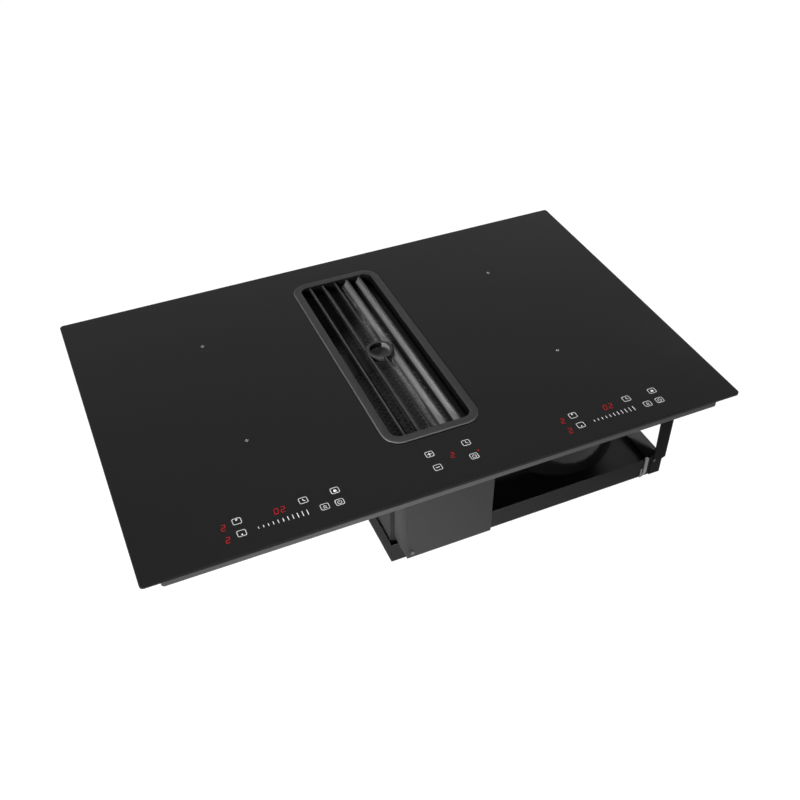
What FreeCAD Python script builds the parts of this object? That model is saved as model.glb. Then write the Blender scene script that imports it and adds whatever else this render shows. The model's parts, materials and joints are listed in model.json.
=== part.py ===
"""Downdraft induction cooktop, 812 x 520 mm, as an assembly of separate pieces.

Frame: X to the right, Y to the back, Z up, millimetres.
Origin: centre of the worktop cut-out, on the worktop's top face.
"""

import FreeCAD, Part

import math
import os

import Sketcher

Vector = FreeCAD.Vector
Rotation = FreeCAD.Rotation

# ---------------------------------------------------------------- driving sizes
SIZES = {
    # glass and what seals it to the worktop
    "glass_width": 812.0,
    "glass_depth": 520.0,
    "glass_thick": 4.0,
    "glass_corner": 5.0,
    "glass_bevel": 0.8,
    "seal_thick": 1.5,
    "seal_width": 5.0,
    "seal_inset": 3.0,
    # sheet-metal case under the glass
    "case_side_inset": 24.0,
    "case_end_inset": 11.5,
    "case_height": 21.0,
    "case_wall": 1.0,
    "case_corner": 4.0,
    # removable grille
    "grille_front_gap": 43.5,
    "grille_rear_gap": 46.5,
    "opening_width": 113.0,
    "opening_corner": 12.0,
    "rim_band": 12.0,
    "rim_thick": 2.0,
    "rim_bevel": 1.2,
    "pad_thick": 0.5,
    "pad_length": 14.0,
    "pad_width": 5.0,
    "skirt_wall": 2.0,
    "skirt_depth": 14.0,
    "skirt_gap": 1.5,
    "vane_pitch": 20.0,
    "vane_thick": 3.0,
    "vane_radius": 11.0,
    "vane_arc": 75.0,
    "vane_lead": 1.5,
    "vane_recess": 2.5,
    "spine_drop": 3.0,
    "ring_radius": 19.2,
    "ring_wall": 5.2,
    "ring_height": 9.0,
    "ring_gap": 1.3,
    # collar that lines the hole in the glass, and the grease filter in it
    "collar_wall": 2.0,
    "collar_flange": 10.0,
    "flange_thick": 2.0,
    "ledge_width": 4.5,
    "ledge_thick": 2.0,
    "collar_case_gap": 1.0,
    "filter_height": 24.0,
    "filter_drop": 1.0,
    "filter_gap": 1.5,
    "filter_band": 8.0,
    "filter_sheet": 1.2,
    "filter_bridge": 54.0,
    "mesh_thick": 1.5,
    "mesh_drop": 1.0,
    "grip_length": 38.0,
    "grip_height": 4.5,
    "grip_bar": 4.0,
    # air box under the grille, with its drip tray
    "plenum_wall": 1.5,
    "plenum_side_gap": 2.5,
    "plenum_end_gap": 1.0,
    "drip_gap": 2.5,
    "drip_height": 22.0,
    "drip_wall": 1.2,
    "drip_rest": 0.3,
    # open base frame
    "under_depth": 209.0,
    "pan_height": 34.5,
    "pan_wall": 1.5,
    "pan_side_gap": 3.0,
    "pan_front_gap": 11.0,
    "pan_rear_gap": 15.0,
    "pan_right_inset": 6.0,
    "post_width": 21.0,
    "post_leg": 14.0,
    "post_step": 3.0,
    "post_jog": 5.0,
    "post_flare": 3.0,
    "post_foot": 4.0,
    "post_shoulder": 2.0,
    # housing for the terminals, in front of the air box
    "box_width": 126.0,
    "box_depth": 42.0,
    "box_height": 142.0,
    "box_wall": 1.2,
    "box_lap": 2.0,
    "box_back_gap": 0.3,
    "terminal_width": 70.0,
    "terminal_depth": 22.0,
    "terminal_height": 26.0,
    "terminal_way": 4.0,
    "terminal_way_depth": 6.0,
    # radial fan
    "volute_radius": 97.0,
    "volute_wall": 2.5,
    "volute_height": 105.5,
    "bowl_height": 90.0,
    "bowl_edge": 20.0,
    "volute_lift": 16.0,
    "fan_side_gap": 31.0,
    "fan_front_gap": 21.0,
    "throat_rear_gap": 55.0,
    "foot_radius": 8.0,
    "foot_circle": 60.0,
    "eye_radius": 62.0,
    "duct_top_gap": 8.0,
    "duct_wall": 1.5,
    "wheel_radius": 80.0,
    "wheel_width": 62.0,
    "wheel_sheet": 2.0,
    "wheel_shroud": 15.0,
    "blade_thick": 1.6,
    "blade_reach": 15.0,
    "blade_inset": 1.0,
    "blade_turn": 32.0,
    "hub_radius": 10.0,
    "hub_height": 12.0,
    "stator_radius": 34.0,
    "stator_height": 30.0,
    "rotor_gap": 2.0,
    "rotor_wall": 2.0,
    "rotor_lift": 4.0,
    "shaft_radius": 4.0,
    "shaft_lift": 1.0,
    "shaft_end": 4.0,
    "shaft_clearance": 0.05,
    "bearing_radius": 8.0,
    "bearing_width": 6.0,
    "seat_clearance": 0.02,
    # duct outlet with its flap
    "outlet_width": 222.0,
    "outlet_side_gap": 17.0,
    "outlet_height": 89.0,
    "outlet_wall": 2.0,
    "outlet_length": 75.0,
    "outlet_lip": 6.0,
    "outlet_throat_inset": 4.0,
    "outlet_seat": 6.0,
    "flap_rest": 0.3,
    "flap_thick": 2.0,
    "flap_gap": 1.5,
    "flap_setback": 4.5,
    "flap_barrel": 3.6,
    "flap_pin_radius": 2.0,
    # induction coils
    "zone_inner_gap": 12.0,
    "zone_row_gap": 12.8,
    "zone_shift": 0.7,
    "coil_gap": 12.0,
    "coil_eye": 26.0,
    "coil_edge": 2.0,
    "coil_thick": 3.8,
    "mica_thick": 0.7,
    "carrier_thick": 2.5,
    "ferrite_thick": 4.0,
    "ferrite_width": 14.0,
    "ferrite_length": 50.0,
    "ferrite_end_gap": 8.0,
    "support_radius": 6.0,
    "support_inset": 3.0,
    # touch boards under the glass
    "touch_width": 160.0,
    "centre_touch_width": 84.0,
    "touch_depth": 44.0,
    "touch_front_gap": 5.0,
    "touch_rib": 3.0,
    "touch_deck": 2.0,
    "board_thick": 1.6,
    "display_height": 1.2,
    "display_width": 18.0,
    "display_depth": 11.0,
    # generators that feed the coils
    "generator_outer_inset": 23.0,
    "generator_inner_gap": 14.0,
    "generator_front_gap": 12.0,
    "generator_rear_inset": 8.5,
    "generator_bottom_gap": 8.0,
    "generator_wall": 1.2,
    "generator_slot": 3.0,
    "slot_margin": 14.0,
    "power_board_lift": 8.0,
    "sink_gap": 4.0,
    "sink_width": 60.0,
    "sink_fin": 1.5,
    "sink_base": 4.0,
    "cooler_size": 80.0,
    "cooler_height": 25.0,
    "cooler_wall": 3.0,
    "cooler_gap": 2.0,
    "cooler_hub": 15.0,
    "cooler_pin": 2.5,
    "cable_gland_radius": 11.0,
    "cable_gland_inset": 34.0,
    "gland_step": 3.1,
    "gland_taper": 2.5,
    "gland_neck": 5.0,
    "gland_collar": 6.0,
    "gland_clearance": 0.1,
    "cable_radius": 5.5,
    "inlet_half": 17.0,
    "inlet_lap": 5.0,
    "lead_hole_length": 60.0,
    "lead_hole_width": 20.0,
    "lead_hole_gap": 30.0,
    "board_edge_gap": 6.0,
    "board_fan_gap": 4.0,
    "capacitor_radius": 9.0,
    "capacitor_height": 22.0,
    "capacitor_pitch": 26.0,
    "capacitor_start": 30.0,
    "cooler_side_gap": 14.0,
    "sink_end_gap": 25.0,
    # small hardware
    "clamp_width": 24.0,
    "clamp_end_gap": 98.5,
    "clamp_thick": 1.2,
    "clamp_bulge": 5.0,
    "screw_radius": 3.2,
    "screw_head": 1.8,
    "screw_inset": 10.0,
    "post_screw_inset": 15.0,
    "post_screw_drop": 5.0,
    "housing_screw_inset": 7.0,
    "post_screw_trim": 0.8,
    "clip_side_gap": 30.2,
    "clip_width": 6.2,
    "clip_sheet": 1.2,
    "clip_inner": 8.0,
    "clip_lip_width": 3.0,
    "clip_lip_height": 18.0,
    "clip_lip_gap": 2.0,
    "clip_lip_notch": 4.0,
    "clip_drop": 0.6,
    "clip_slope": 7.0,
    "clip_rise": 1.0,
    "sensor_radius": 6.0,
}

BLADES = 30

doc = FreeCAD.newDocument("DowndraftCooktop")
sheet = doc.addObject("Spreadsheet::Sheet", "Sizes")
for row, (word, size) in enumerate(SIZES.items(), 1):
    sheet.set(f"A{row}", word)
    sheet.set(f"B{row}", str(size))
    sheet.setAlias(f"B{row}", word)
doc.recompute()


# ---------------------------------------------------------------- sizes as formulas
class Size:
    """A length that knows its number and its formula on the size sheet."""

    def __init__(self, number, formula):
        self.number = number
        self.formula = formula

    def __add__(self, other):
        return Size(self.number + number(other), f"({self.formula} + {formula(other)})")

    def __radd__(self, other):
        return Size(number(other) + self.number, f"({formula(other)} + {self.formula})")

    def __sub__(self, other):
        return Size(self.number - number(other), f"({self.formula} - {formula(other)})")

    def __rsub__(self, other):
        return Size(number(other) - self.number, f"({formula(other)} - {self.formula})")

    def __mul__(self, other):
        return Size(self.number * number(other), f"({self.formula} * {formula(other)})")

    __rmul__ = __mul__

    def __truediv__(self, other):
        return Size(self.number / number(other), f"({self.formula} / {formula(other)})")

    def __neg__(self):
        return Size(-self.number, f"(0 - {self.formula})")


def number(value):
    return value.number if isinstance(value, Size) else float(value)


def formula(value):
    return value.formula if isinstance(value, Size) else f"({float(value)!r})"


def size(word):
    return Size(float(sheet.get(word)), f"Sizes.{word}")


def bind(thing, path, value):
    thing.setExpression(path, formula(value))


def place(thing, x=0, y=0, z=0):
    for axis, value in zip("xyz", (x, y, z)):
        bind(thing, f"Placement.Base.{axis}", value)
    return thing


# ---------------------------------------------------------------- solids from primitives
def block(name, x, y, z):
    """A box between two places along each axis."""
    box = doc.addObject("Part::Box", name)
    for edge, (low, high) in zip(("Length", "Width", "Height"), (x, y, z)):
        bind(box, edge, high - low)
    return place(box, x[0], y[0], z[0])


AXIS_TURNS = {
    "z": Rotation(),
    "x": Rotation(Vector(0, 1, 0), 90),
    "y": Rotation(Vector(1, 0, 0), -90),
}


def rod(name, start, radius, length, axis="z"):
    """A cylinder that runs from its start point along an axis."""
    cylinder = doc.addObject("Part::Cylinder", name)
    cylinder.Placement = FreeCAD.Placement(Vector(), AXIS_TURNS[axis])
    bind(cylinder, "Radius", radius)
    bind(cylinder, "Height", length)
    return place(cylinder, *start)


def fuse(name, *parts):
    joined = doc.addObject("Part::MultiFuse", name)
    joined.Shapes = list(parts)
    joined.Refine = True
    return joined


def cut(name, base, *tools):
    carved = doc.addObject("Part::Cut", name)
    carved.Base = base
    carved.Tool = tools[0] if len(tools) == 1 else fuse(f"{name}_tools", *tools)
    return carved


def group(name, parts):
    """Separate solids that share one sub-part."""
    kept = doc.addObject("Part::Compound", name)
    kept.Links = list(parts)
    return kept


def tube(name, start, outer, inner, length, axis="z"):
    return cut(
        name,
        rod(f"{name}_outside", start, outer, length, axis),
        rod(f"{name}_bore", start, inner, length, axis),
    )


def spoke(name, centre, distance, around, twist, span, bottom):
    """A bar whose middle stands at a distance from a centre, twisted about its own middle."""
    length, width, height = span
    bar = doc.addObject("Part::Box", name)
    bind(bar, "Length", length)
    bind(bar, "Width", width)
    bind(bar, "Height", height)
    heading = math.radians(around + twist)
    bar.Placement = FreeCAD.Placement(Vector(), Rotation(Vector(0, 0, 1), around + twist))
    along, across = math.cos(heading), math.sin(heading)
    middle_x = centre[0] + distance * math.cos(math.radians(around))
    middle_y = centre[1] + distance * math.sin(math.radians(around))
    return place(
        bar,
        middle_x - length / 2 * along + width / 2 * across,
        middle_y - length / 2 * across - width / 2 * along,
        bottom,
    )


# ---------------------------------------------------------------- solids from sketches
def new_body(name):
    return doc.addObject("PartDesign::Body", name)


def new_sketch(body, name, plane, offset):
    """A sketch on one of the body's own origin planes, moved by an offset in that plane's axes."""
    sketch = body.newObject("Sketcher::SketchObject", f"{body.Name}_{name}")
    flat = next(f for f in body.Origin.OriginFeatures if f.Role == plane)
    sketch.AttachmentSupport = (flat, [""])
    sketch.MapMode = "FlatFace"
    for axis, value in zip("xyz", offset):
        bind(sketch, f"AttachmentOffset.Base.{axis}", value)
    return sketch


def dimension(sketch, kind, ends, value, word):
    """A named dimension that follows a size."""
    index = sketch.addConstraint(Sketcher.Constraint(kind, *ends, number(value)))
    sketch.renameConstraint(index, word)
    bind(sketch, f"Constraints.{word}", value)


def rectangle(body, name, offset, span, plane="XY_Plane"):
    """A rectangle whose middle is the sketch's origin."""
    sketch = new_sketch(body, name, plane, offset)
    wide, tall = number(span[0]) / 2, number(span[1]) / 2
    corners = [(-wide, -tall), (wide, -tall), (wide, tall), (-wide, tall)]
    points = [Vector(x, y, 0) for x, y in corners]
    for side in range(4):
        sketch.addGeometry(Part.LineSegment(points[side], points[(side + 1) % 4]))
    for side in range(4):
        sketch.addConstraint(Sketcher.Constraint("Coincident", side, 2, (side + 1) % 4, 1))
        level = "Horizontal" if side % 2 == 0 else "Vertical"
        sketch.addConstraint(Sketcher.Constraint(level, side))
    sketch.addConstraint(Sketcher.Constraint("Symmetric", 0, 1, 2, 1, -1, 1))
    dimension(sketch, "DistanceX", (0, 1, 0, 2), span[0], "wide")
    dimension(sketch, "DistanceY", (1, 1, 1, 2), span[1], "tall")
    return sketch


def rounded_rectangle(body, name, offset, span, radius, plane="XY_Plane"):
    """A rectangle with round corners whose middle is the sketch's origin."""
    sketch = new_sketch(body, name, plane, offset)
    round_ = number(radius)
    wide, tall = number(span[0]) / 2 - round_, number(span[1]) / 2 - round_
    centres = [(-wide, -tall), (wide, -tall), (wide, tall), (-wide, tall)]
    for corner, (x, y) in enumerate(centres):
        turn = math.radians(180 + 90 * corner)
        circle = Part.Circle(Vector(x, y, 0), Vector(0, 0, 1), round_)
        sketch.addGeometry(Part.ArcOfCircle(circle, turn, turn + math.pi / 2))
    arcs = sketch.Geometry[:4]
    for corner in range(4):
        start, end = arcs[corner].EndPoint, arcs[(corner + 1) % 4].StartPoint
        sketch.addGeometry(Part.LineSegment(start, end))
    for corner in range(4):
        line, after = 4 + corner, (corner + 1) % 4
        sketch.addConstraint(Sketcher.Constraint("Tangent", corner, 2, line, 1))
        sketch.addConstraint(Sketcher.Constraint("Tangent", line, 2, after, 1))
        level = "Horizontal" if corner % 2 == 0 else "Vertical"
        sketch.addConstraint(Sketcher.Constraint(level, line))
    for corner in range(1, 4):
        sketch.addConstraint(Sketcher.Constraint("Equal", 0, corner))
    sketch.addConstraint(Sketcher.Constraint("Symmetric", 0, 3, 2, 3, -1, 1))
    dimension(sketch, "Radius", (0,), radius, "corner")
    dimension(sketch, "DistanceX", (7, 1, 5, 1), span[0], "wide")
    dimension(sketch, "DistanceY", (4, 1, 6, 1), span[1], "tall")
    return sketch


def circle(body, name, offset, radius, plane="XY_Plane"):
    sketch = new_sketch(body, name, plane, offset)
    sketch.addGeometry(Part.Circle(Vector(), Vector(0, 0, 1), number(radius)))
    sketch.addConstraint(Sketcher.Constraint("Coincident", 0, 3, -1, 1))
    dimension(sketch, "Radius", (0,), radius, "radius")
    return sketch


def polygon(body, name, offset, points, plane="XY_Plane"):
    """A closed outline of straight sides, each corner held to the sketch's origin."""
    sketch = new_sketch(body, name, plane, offset)
    corners = [Vector(number(x), number(y), 0) for x, y in points]
    count = len(corners)
    for side in range(count):
        sketch.addGeometry(Part.LineSegment(corners[side], corners[(side + 1) % count]))
    for side in range(count):
        sketch.addConstraint(Sketcher.Constraint("Coincident", side, 2, (side + 1) % count, 1))
    for side, (x, y) in enumerate(points):
        dimension(sketch, "DistanceX", (-1, 1, side, 1), x, f"x{side}")
        dimension(sketch, "DistanceY", (-1, 1, side, 1), y, f"y{side}")
    return sketch


def horseshoe(body, name, offset, radius, reach):
    """A half circle about the sketch's origin, carried straight back by its reach."""
    sketch = new_sketch(body, name, "XY_Plane", offset)
    r, back = number(radius), number(reach)
    ring = Part.Circle(Vector(), Vector(0, 0, 1), r)
    sketch.addGeometry(Part.ArcOfCircle(ring, math.pi, 2 * math.pi))
    corners = [Vector(r, 0, 0), Vector(r, back, 0), Vector(-r, back, 0), Vector(-r, 0, 0)]
    for start, end in zip(corners, corners[1:]):
        sketch.addGeometry(Part.LineSegment(start, end))
    sketch.addConstraint(Sketcher.Constraint("Coincident", 0, 3, -1, 1))
    sketch.addConstraint(Sketcher.Constraint("Tangent", 0, 2, 1, 1))
    sketch.addConstraint(Sketcher.Constraint("Coincident", 1, 2, 2, 1))
    sketch.addConstraint(Sketcher.Constraint("Coincident", 2, 2, 3, 1))
    sketch.addConstraint(Sketcher.Constraint("Tangent", 3, 2, 0, 1))
    sketch.addConstraint(Sketcher.Constraint("Vertical", 1))
    sketch.addConstraint(Sketcher.Constraint("Horizontal", 2))
    sketch.addConstraint(Sketcher.Constraint("Vertical", 3))
    dimension(sketch, "Radius", (0,), radius, "radius")
    dimension(sketch, "DistanceY", (1, 1, 1, 2), reach, "reach")
    return sketch


def pad(body, sketch, length, name, backwards=False):
    feature = body.newObject("PartDesign::Pad", f"{body.Name}_{name}")
    feature.Profile = sketch
    bind(feature, "Length", length)
    feature.Reversed = backwards
    return feature


def pocket(body, sketch, depth, name, backwards=False):
    feature = body.newObject("PartDesign::Pocket", f"{body.Name}_{name}")
    feature.Profile = sketch
    if depth is None:
        feature.Type = 1
        feature.Midplane = True
    else:
        bind(feature, "Length", depth)
    feature.Reversed = backwards
    return feature


def edges_at(shape, level, keep=None):
    """Names of the edges that lie flat at one height."""
    names = []
    for index, edge in enumerate(shape.Edges, 1):
        box = edge.BoundBox
        flat = abs(box.ZMin - level) < 1e-4 and abs(box.ZMax - level) < 1e-4
        if flat and (keep is None or keep(edge)):
            names.append(f"Edge{index}")
    return names


def dress(body, kind, base, edges, value, name):
    """A fillet or a chamfer on named edges of a feature."""
    feature = body.newObject(f"PartDesign::{kind}", f"{body.Name}_{name}")
    feature.Base = (base, edges)
    bind(feature, "Radius" if kind == "Fillet" else "Size", value)
    return feature


def row_of(body, feature, direction, length, count, name):
    """Copies of a feature in a straight row."""
    pattern = body.newObject("PartDesign::LinearPattern", f"{body.Name}_{name}")
    pattern.Originals = [feature]
    axis = next(f for f in body.Origin.OriginFeatures if f.Role == direction)
    pattern.Direction = (axis, [""])
    bind(pattern, "Length", length)
    pattern.Occurrences = count
    body.Tip = pattern
    return pattern


def ring_of(body, feature, count, name):
    """Copies of a feature round the body's Z axis."""
    pattern = body.newObject("PartDesign::PolarPattern", f"{body.Name}_{name}")
    pattern.Originals = [feature]
    axis = next(f for f in body.Origin.OriginFeatures if f.Role == "Z_Axis")
    pattern.Axis = (axis, [""])
    pattern.Angle = 360
    pattern.Occurrences = count
    body.Tip = pattern
    return pattern


nodes = []


def keep(node, label):
    """Names a finished sub-part and lists it for writing."""
    node.Label = label
    nodes.append(node)
    return node


# ---------------------------------------------------------------- levels and places
GLASS_UNDER = size("seal_thick")
GLASS_TOP = GLASS_UNDER + size("glass_thick")
CASE_BOTTOM = GLASS_UNDER - size("case_height")
CASE_FLOOR = CASE_BOTTOM + size("case_wall")
CASE_WIDTH = size("glass_width") - 2 * size("case_side_inset")
CASE_DEPTH = size("glass_depth") - 2 * size("case_end_inset")
CASE_RIGHT = CASE_WIDTH / 2
CASE_REAR = CASE_DEPTH / 2
TOUCH_FRONT = -CASE_REAR + size("touch_front_gap")
TOUCH_REAR = TOUCH_FRONT + size("touch_depth")

RIM_UNDER = GLASS_TOP + size("pad_thick")
RIM_TOP = RIM_UNDER + size("rim_thick")
VANE_TOP = RIM_TOP - size("vane_recess")
SKIRT_BOTTOM = RIM_UNDER - size("skirt_depth")
OPENING_FRONT = TOUCH_REAR + size("grille_front_gap")
OPENING_REAR = CASE_REAR - size("grille_rear_gap")
OPENING_LENGTH = OPENING_REAR - OPENING_FRONT
OPENING_SPAN = (size("opening_width"), OPENING_LENGTH)
SKIRT_SPAN = tuple(span + 2 * size("skirt_wall") for span in OPENING_SPAN)
HOLE_SPAN = tuple(span + 2 * size("skirt_gap") for span in SKIRT_SPAN)
HOLE_CORNER = size("opening_corner") + size("skirt_wall") + size("skirt_gap")
COLLAR_SPAN = tuple(span + 2 * size("collar_wall") for span in HOLE_SPAN)
GRILLE_Y = (OPENING_FRONT + OPENING_REAR) / 2

FILTER_TOP = SKIRT_BOTTOM - size("filter_drop")
FILTER_BOTTOM = FILTER_TOP - size("filter_height")
LEDGE_BOTTOM = FILTER_BOTTOM - size("ledge_thick")
FILTER_SPAN = tuple(span - 2 * size("filter_gap") for span in HOLE_SPAN)

PAN_BOTTOM = -size("under_depth")
PAN_FLOOR = PAN_BOTTOM + size("pan_wall")
PAN_TOP = PAN_BOTTOM + size("pan_height")
PLENUM_RIGHT = COLLAR_SPAN[0] / 2 + size("plenum_side_gap") + size("plenum_wall")
PLENUM_HALF = COLLAR_SPAN[1] / 2 + size("plenum_end_gap") + size("plenum_wall")
PLENUM_FRONT = GRILLE_Y - PLENUM_HALF
PLENUM_REAR = GRILLE_Y + PLENUM_HALF
PAN_LEFT = -PLENUM_RIGHT - size("pan_side_gap")
PAN_RIGHT = CASE_RIGHT - size("pan_right_inset")
PAN_FRONT = PLENUM_FRONT - size("pan_front_gap")
PAN_REAR = PLENUM_REAR + size("pan_rear_gap")

BOX_REAR = PAN_FRONT + size("box_lap")
BOX_FRONT = BOX_REAR - size("box_depth")
BOX_BOTTOM = CASE_BOTTOM - size("box_height")
BOX_RIGHT = size("box_width") / 2

FAN_X = PAN_RIGHT - size("volute_radius") - size("fan_side_gap")
FAN_Y = PAN_FRONT + size("volute_radius") + size("fan_front_gap")
VOLUTE_BOTTOM = PAN_FLOOR + size("volute_lift")
VOLUTE_SPLIT = VOLUTE_BOTTOM + size("bowl_height")
VOLUTE_TOP = VOLUTE_BOTTOM + size("volute_height")
THROAT_REAR = PAN_REAR - size("throat_rear_gap")
THROAT_REACH = THROAT_REAR - FAN_Y
DUCT_TOP = CASE_BOTTOM - size("duct_top_gap")
DUCT_RIGHT = FAN_X + size("volute_radius")
DUCT_FRONT = FAN_Y - size("volute_radius")
DUCT_REAR = FAN_Y + size("volute_radius")

OUTLET_Z = (VOLUTE_BOTTOM + VOLUTE_TOP) / 2
OUTLET_X = PAN_RIGHT - size("outlet_side_gap") - size("outlet_width") / 2
OUTLET_REAR = THROAT_REAR + size("outlet_length")

CLAMP_Y = CASE_REAR - size("clamp_end_gap")
ZONE_ACROSS = (CASE_RIGHT + COLLAR_SPAN[0] / 2 + size("zone_inner_gap")) / 2
ZONE_PITCH = (CASE_REAR - TOUCH_REAR) / 2 - size("zone_row_gap")
ZONE_MIDDLE = (CASE_REAR + TOUCH_REAR) / 2 - size("zone_shift")
COIL_RADIUS = ZONE_PITCH / 2 - size("coil_gap")
MICA_UNDER = GLASS_UNDER - size("mica_thick")
COIL_UNDER = MICA_UNDER - size("coil_thick")
CARRIER_UNDER = COIL_UNDER - size("carrier_thick")
FERRITE_UNDER = CARRIER_UNDER - size("ferrite_thick")

GENERATOR_FRONT = DUCT_REAR + size("generator_front_gap")
GENERATOR_REAR = CASE_REAR - size("generator_rear_inset")
GENERATOR_BOTTOM = VOLUTE_TOP + size("generator_bottom_gap")
GENERATOR_OUTER = CASE_RIGHT - size("generator_outer_inset")
GENERATOR_INNER = PLENUM_RIGHT + size("generator_inner_gap")


# ---------------------------------------------------------------- glass, seal and case
def make_glass():
    body = new_body("Glass")
    outline = rounded_rectangle(
        body,
        "outline",
        (0, 0, GLASS_UNDER),
        (size("glass_width"), size("glass_depth")),
        size("glass_corner"),
    )
    plate = pad(body, outline, size("glass_thick"), "plate")
    doc.recompute()
    rim = edges_at(plate.Shape, number(GLASS_TOP))
    dress(body, "Chamfer", plate, rim, size("glass_bevel"), "bevel")
    hole = rounded_rectangle(body, "hole", (0, GRILLE_Y, GLASS_TOP), HOLE_SPAN, HOLE_CORNER)
    pocket(body, hole, size("glass_thick"), "opening")
    keep(body, "glass_top")


def make_seal():
    body = new_body("Seal")
    outer = tuple(size(word) - 2 * size("seal_inset") for word in ("glass_width", "glass_depth"))
    inner = tuple(span - 2 * size("seal_width") for span in outer)
    ring = rounded_rectangle(body, "outside", (0, 0, 0), outer, size("glass_corner"))
    pad(body, ring, size("seal_thick"), "strip")
    hole = rectangle(body, "inside", (0, 0, GLASS_UNDER), inner)
    pocket(body, hole, size("seal_thick"), "middle")
    keep(body, "glass_seal")


def make_case():
    body = new_body("Case")
    outer = (CASE_WIDTH, CASE_DEPTH)
    inner = tuple(span - 2 * size("case_wall") for span in outer)
    base = rounded_rectangle(body, "outside", (0, 0, CASE_BOTTOM), outer, size("case_corner"))
    pad(body, base, size("case_height"), "block")
    hollow = rounded_rectangle(
        body, "inside", (0, 0, GLASS_UNDER), inner, size("case_corner") - size("case_wall")
    )
    pocket(body, hollow, size("case_height") - size("case_wall"), "hollow")
    well = tuple(span + 2 * size("collar_case_gap") for span in COLLAR_SPAN)
    hole = rectangle(body, "well", (0, GRILLE_Y, CASE_FLOOR), well)
    pocket(body, hole, size("case_wall"), "well_hole")
    for side, mark in ((-1, "left"), (1, "right")):
        middle = side * (GENERATOR_INNER + GENERATOR_OUTER) / 2
        lead = rectangle(
            body,
            f"{mark}_leads",
            (middle, GENERATOR_FRONT + size("lead_hole_gap"), CASE_FLOOR),
            (size("lead_hole_length"), size("lead_hole_width")),
        )
        pocket(body, lead, size("case_wall"), f"{mark}_lead_hole")
    keep(body, "lower_case")


def make_collar():
    body = new_body("Collar")
    flange_span = tuple(span + 2 * size("collar_flange") for span in COLLAR_SPAN)
    flange_under = GLASS_UNDER - size("flange_thick")
    flange = rounded_rectangle(
        body, "flange", (0, GRILLE_Y, flange_under), flange_span, HOLE_CORNER + size("collar_flange")
    )
    pad(body, flange, size("flange_thick"), "flange_plate")
    wall = rounded_rectangle(
        body, "wall", (0, GRILLE_Y, LEDGE_BOTTOM), COLLAR_SPAN, HOLE_CORNER + size("collar_wall")
    )
    pad(body, wall, flange_under - LEDGE_BOTTOM, "walls")
    hollow = rounded_rectangle(body, "hollow", (0, GRILLE_Y, GLASS_UNDER), HOLE_SPAN, HOLE_CORNER)
    pocket(body, hollow, GLASS_UNDER - FILTER_BOTTOM, "throat")
    mouth_span = tuple(span - 2 * size("ledge_width") for span in HOLE_SPAN)
    mouth = rounded_rectangle(
        body, "mouth", (0, GRILLE_Y, FILTER_BOTTOM), mouth_span, HOLE_CORNER - size("ledge_width")
    )
    pocket(body, mouth, size("ledge_thick"), "mouth_hole")
    keep(body, "inlet_collar")


# ---------------------------------------------------------------- grille
def make_grille_frame():
    body = new_body("GrilleFrame")
    opening = (size("opening_width"), OPENING_LENGTH)
    outer = tuple(span + 2 * size("rim_band") for span in opening)
    rim = rounded_rectangle(
        body, "rim", (0, GRILLE_Y, RIM_UNDER), outer, size("opening_corner") + size("rim_band")
    )
    plate = pad(body, rim, size("rim_thick"), "rim_plate")
    doc.recompute()
    dress(body, "Chamfer", plate, edges_at(plate.Shape, number(RIM_TOP)), size("rim_bevel"), "bevel")
    skirt = rounded_rectangle(
        body, "skirt", (0, GRILLE_Y, SKIRT_BOTTOM), SKIRT_SPAN, size("opening_corner") + size("skirt_wall")
    )
    pad(body, skirt, size("skirt_depth"), "skirt_walls")
    hole = rounded_rectangle(body, "hole", (0, GRILLE_Y, RIM_TOP), opening, size("opening_corner"))
    pocket(body, hole, size("rim_thick") + size("skirt_depth"), "opening")
    keep(body, "grille_frame")


def curved_vane(name, x, side):
    """A vane that drops from its top edge and sweeps towards the grille's middle."""
    length = OPENING_LENGTH
    front = GRILLE_Y - length / 2
    half = size("vane_thick") / 2
    arc_top = VANE_TOP - size("vane_lead")
    centre = x - side * size("vane_radius")
    pieces = []
    for word, radius in (("back", size("vane_radius") + half), ("face", size("vane_radius") - half)):
        drum = doc.addObject("Part::Cylinder", f"{name}_{word}")
        # the sector opens downwards from the vane's upper end
        turn = Rotation(Vector(1, 0, 0), -90)
        start = 0 if side > 0 else 180 - number(size("vane_arc"))
        drum.Placement = FreeCAD.Placement(Vector(), turn.multiply(Rotation(Vector(0, 0, 1), start)))
        bind(drum, "Radius", radius)
        bind(drum, "Height", length)
        bind(drum, "Angle", size("vane_arc"))
        place(drum, centre, front, arc_top)
        pieces.append(drum)
    curve = cut(f"{name}_curve", *pieces)
    lead = block(
        f"{name}_lead", (x - half, x + half), (front, front + length), (arc_top, VANE_TOP)
    )
    return fuse(name, curve, lead)


def make_louvres():
    length = OPENING_LENGTH
    front = GRILLE_Y - length / 2
    ring_floor = VANE_TOP - size("ring_height")
    vanes = []
    for step in (-2, -1, 1, 2):
        side = 1 if step > 0 else -1
        word = "Right" if step > 0 else "Left"
        vane = curved_vane(f"Vane{word}{abs(step)}", step * size("vane_pitch"), side)
        if abs(step) == 1:
            notch = rod(
                f"Notch{word}",
                (0, GRILLE_Y, VANE_TOP - 2 * size("ring_height")),
                size("ring_radius") + size("ring_gap"),
                2 * size("ring_height"),
            )
            vane = cut(f"NotchedVane{word}", vane, notch)
        vanes.append(vane)
    half = size("vane_thick") / 2
    bottom = VANE_TOP - size("spine_drop")
    spine = block("Spine_bar", (-half, half), (front, front + length), (bottom, VANE_TOP))
    gap = rod("Spine_gap", (0, GRILLE_Y, bottom), size("ring_radius"), size("spine_drop"))
    vanes.append(cut("Spine", spine, gap))
    keep(group("Louvres", vanes), "grille_louvres")

    ring = tube(
        "FingerRing",
        (0, GRILLE_Y, ring_floor),
        size("ring_radius"),
        size("ring_radius") - size("ring_wall"),
        size("ring_height"),
    )
    keep(ring, "grille_ring")


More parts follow.
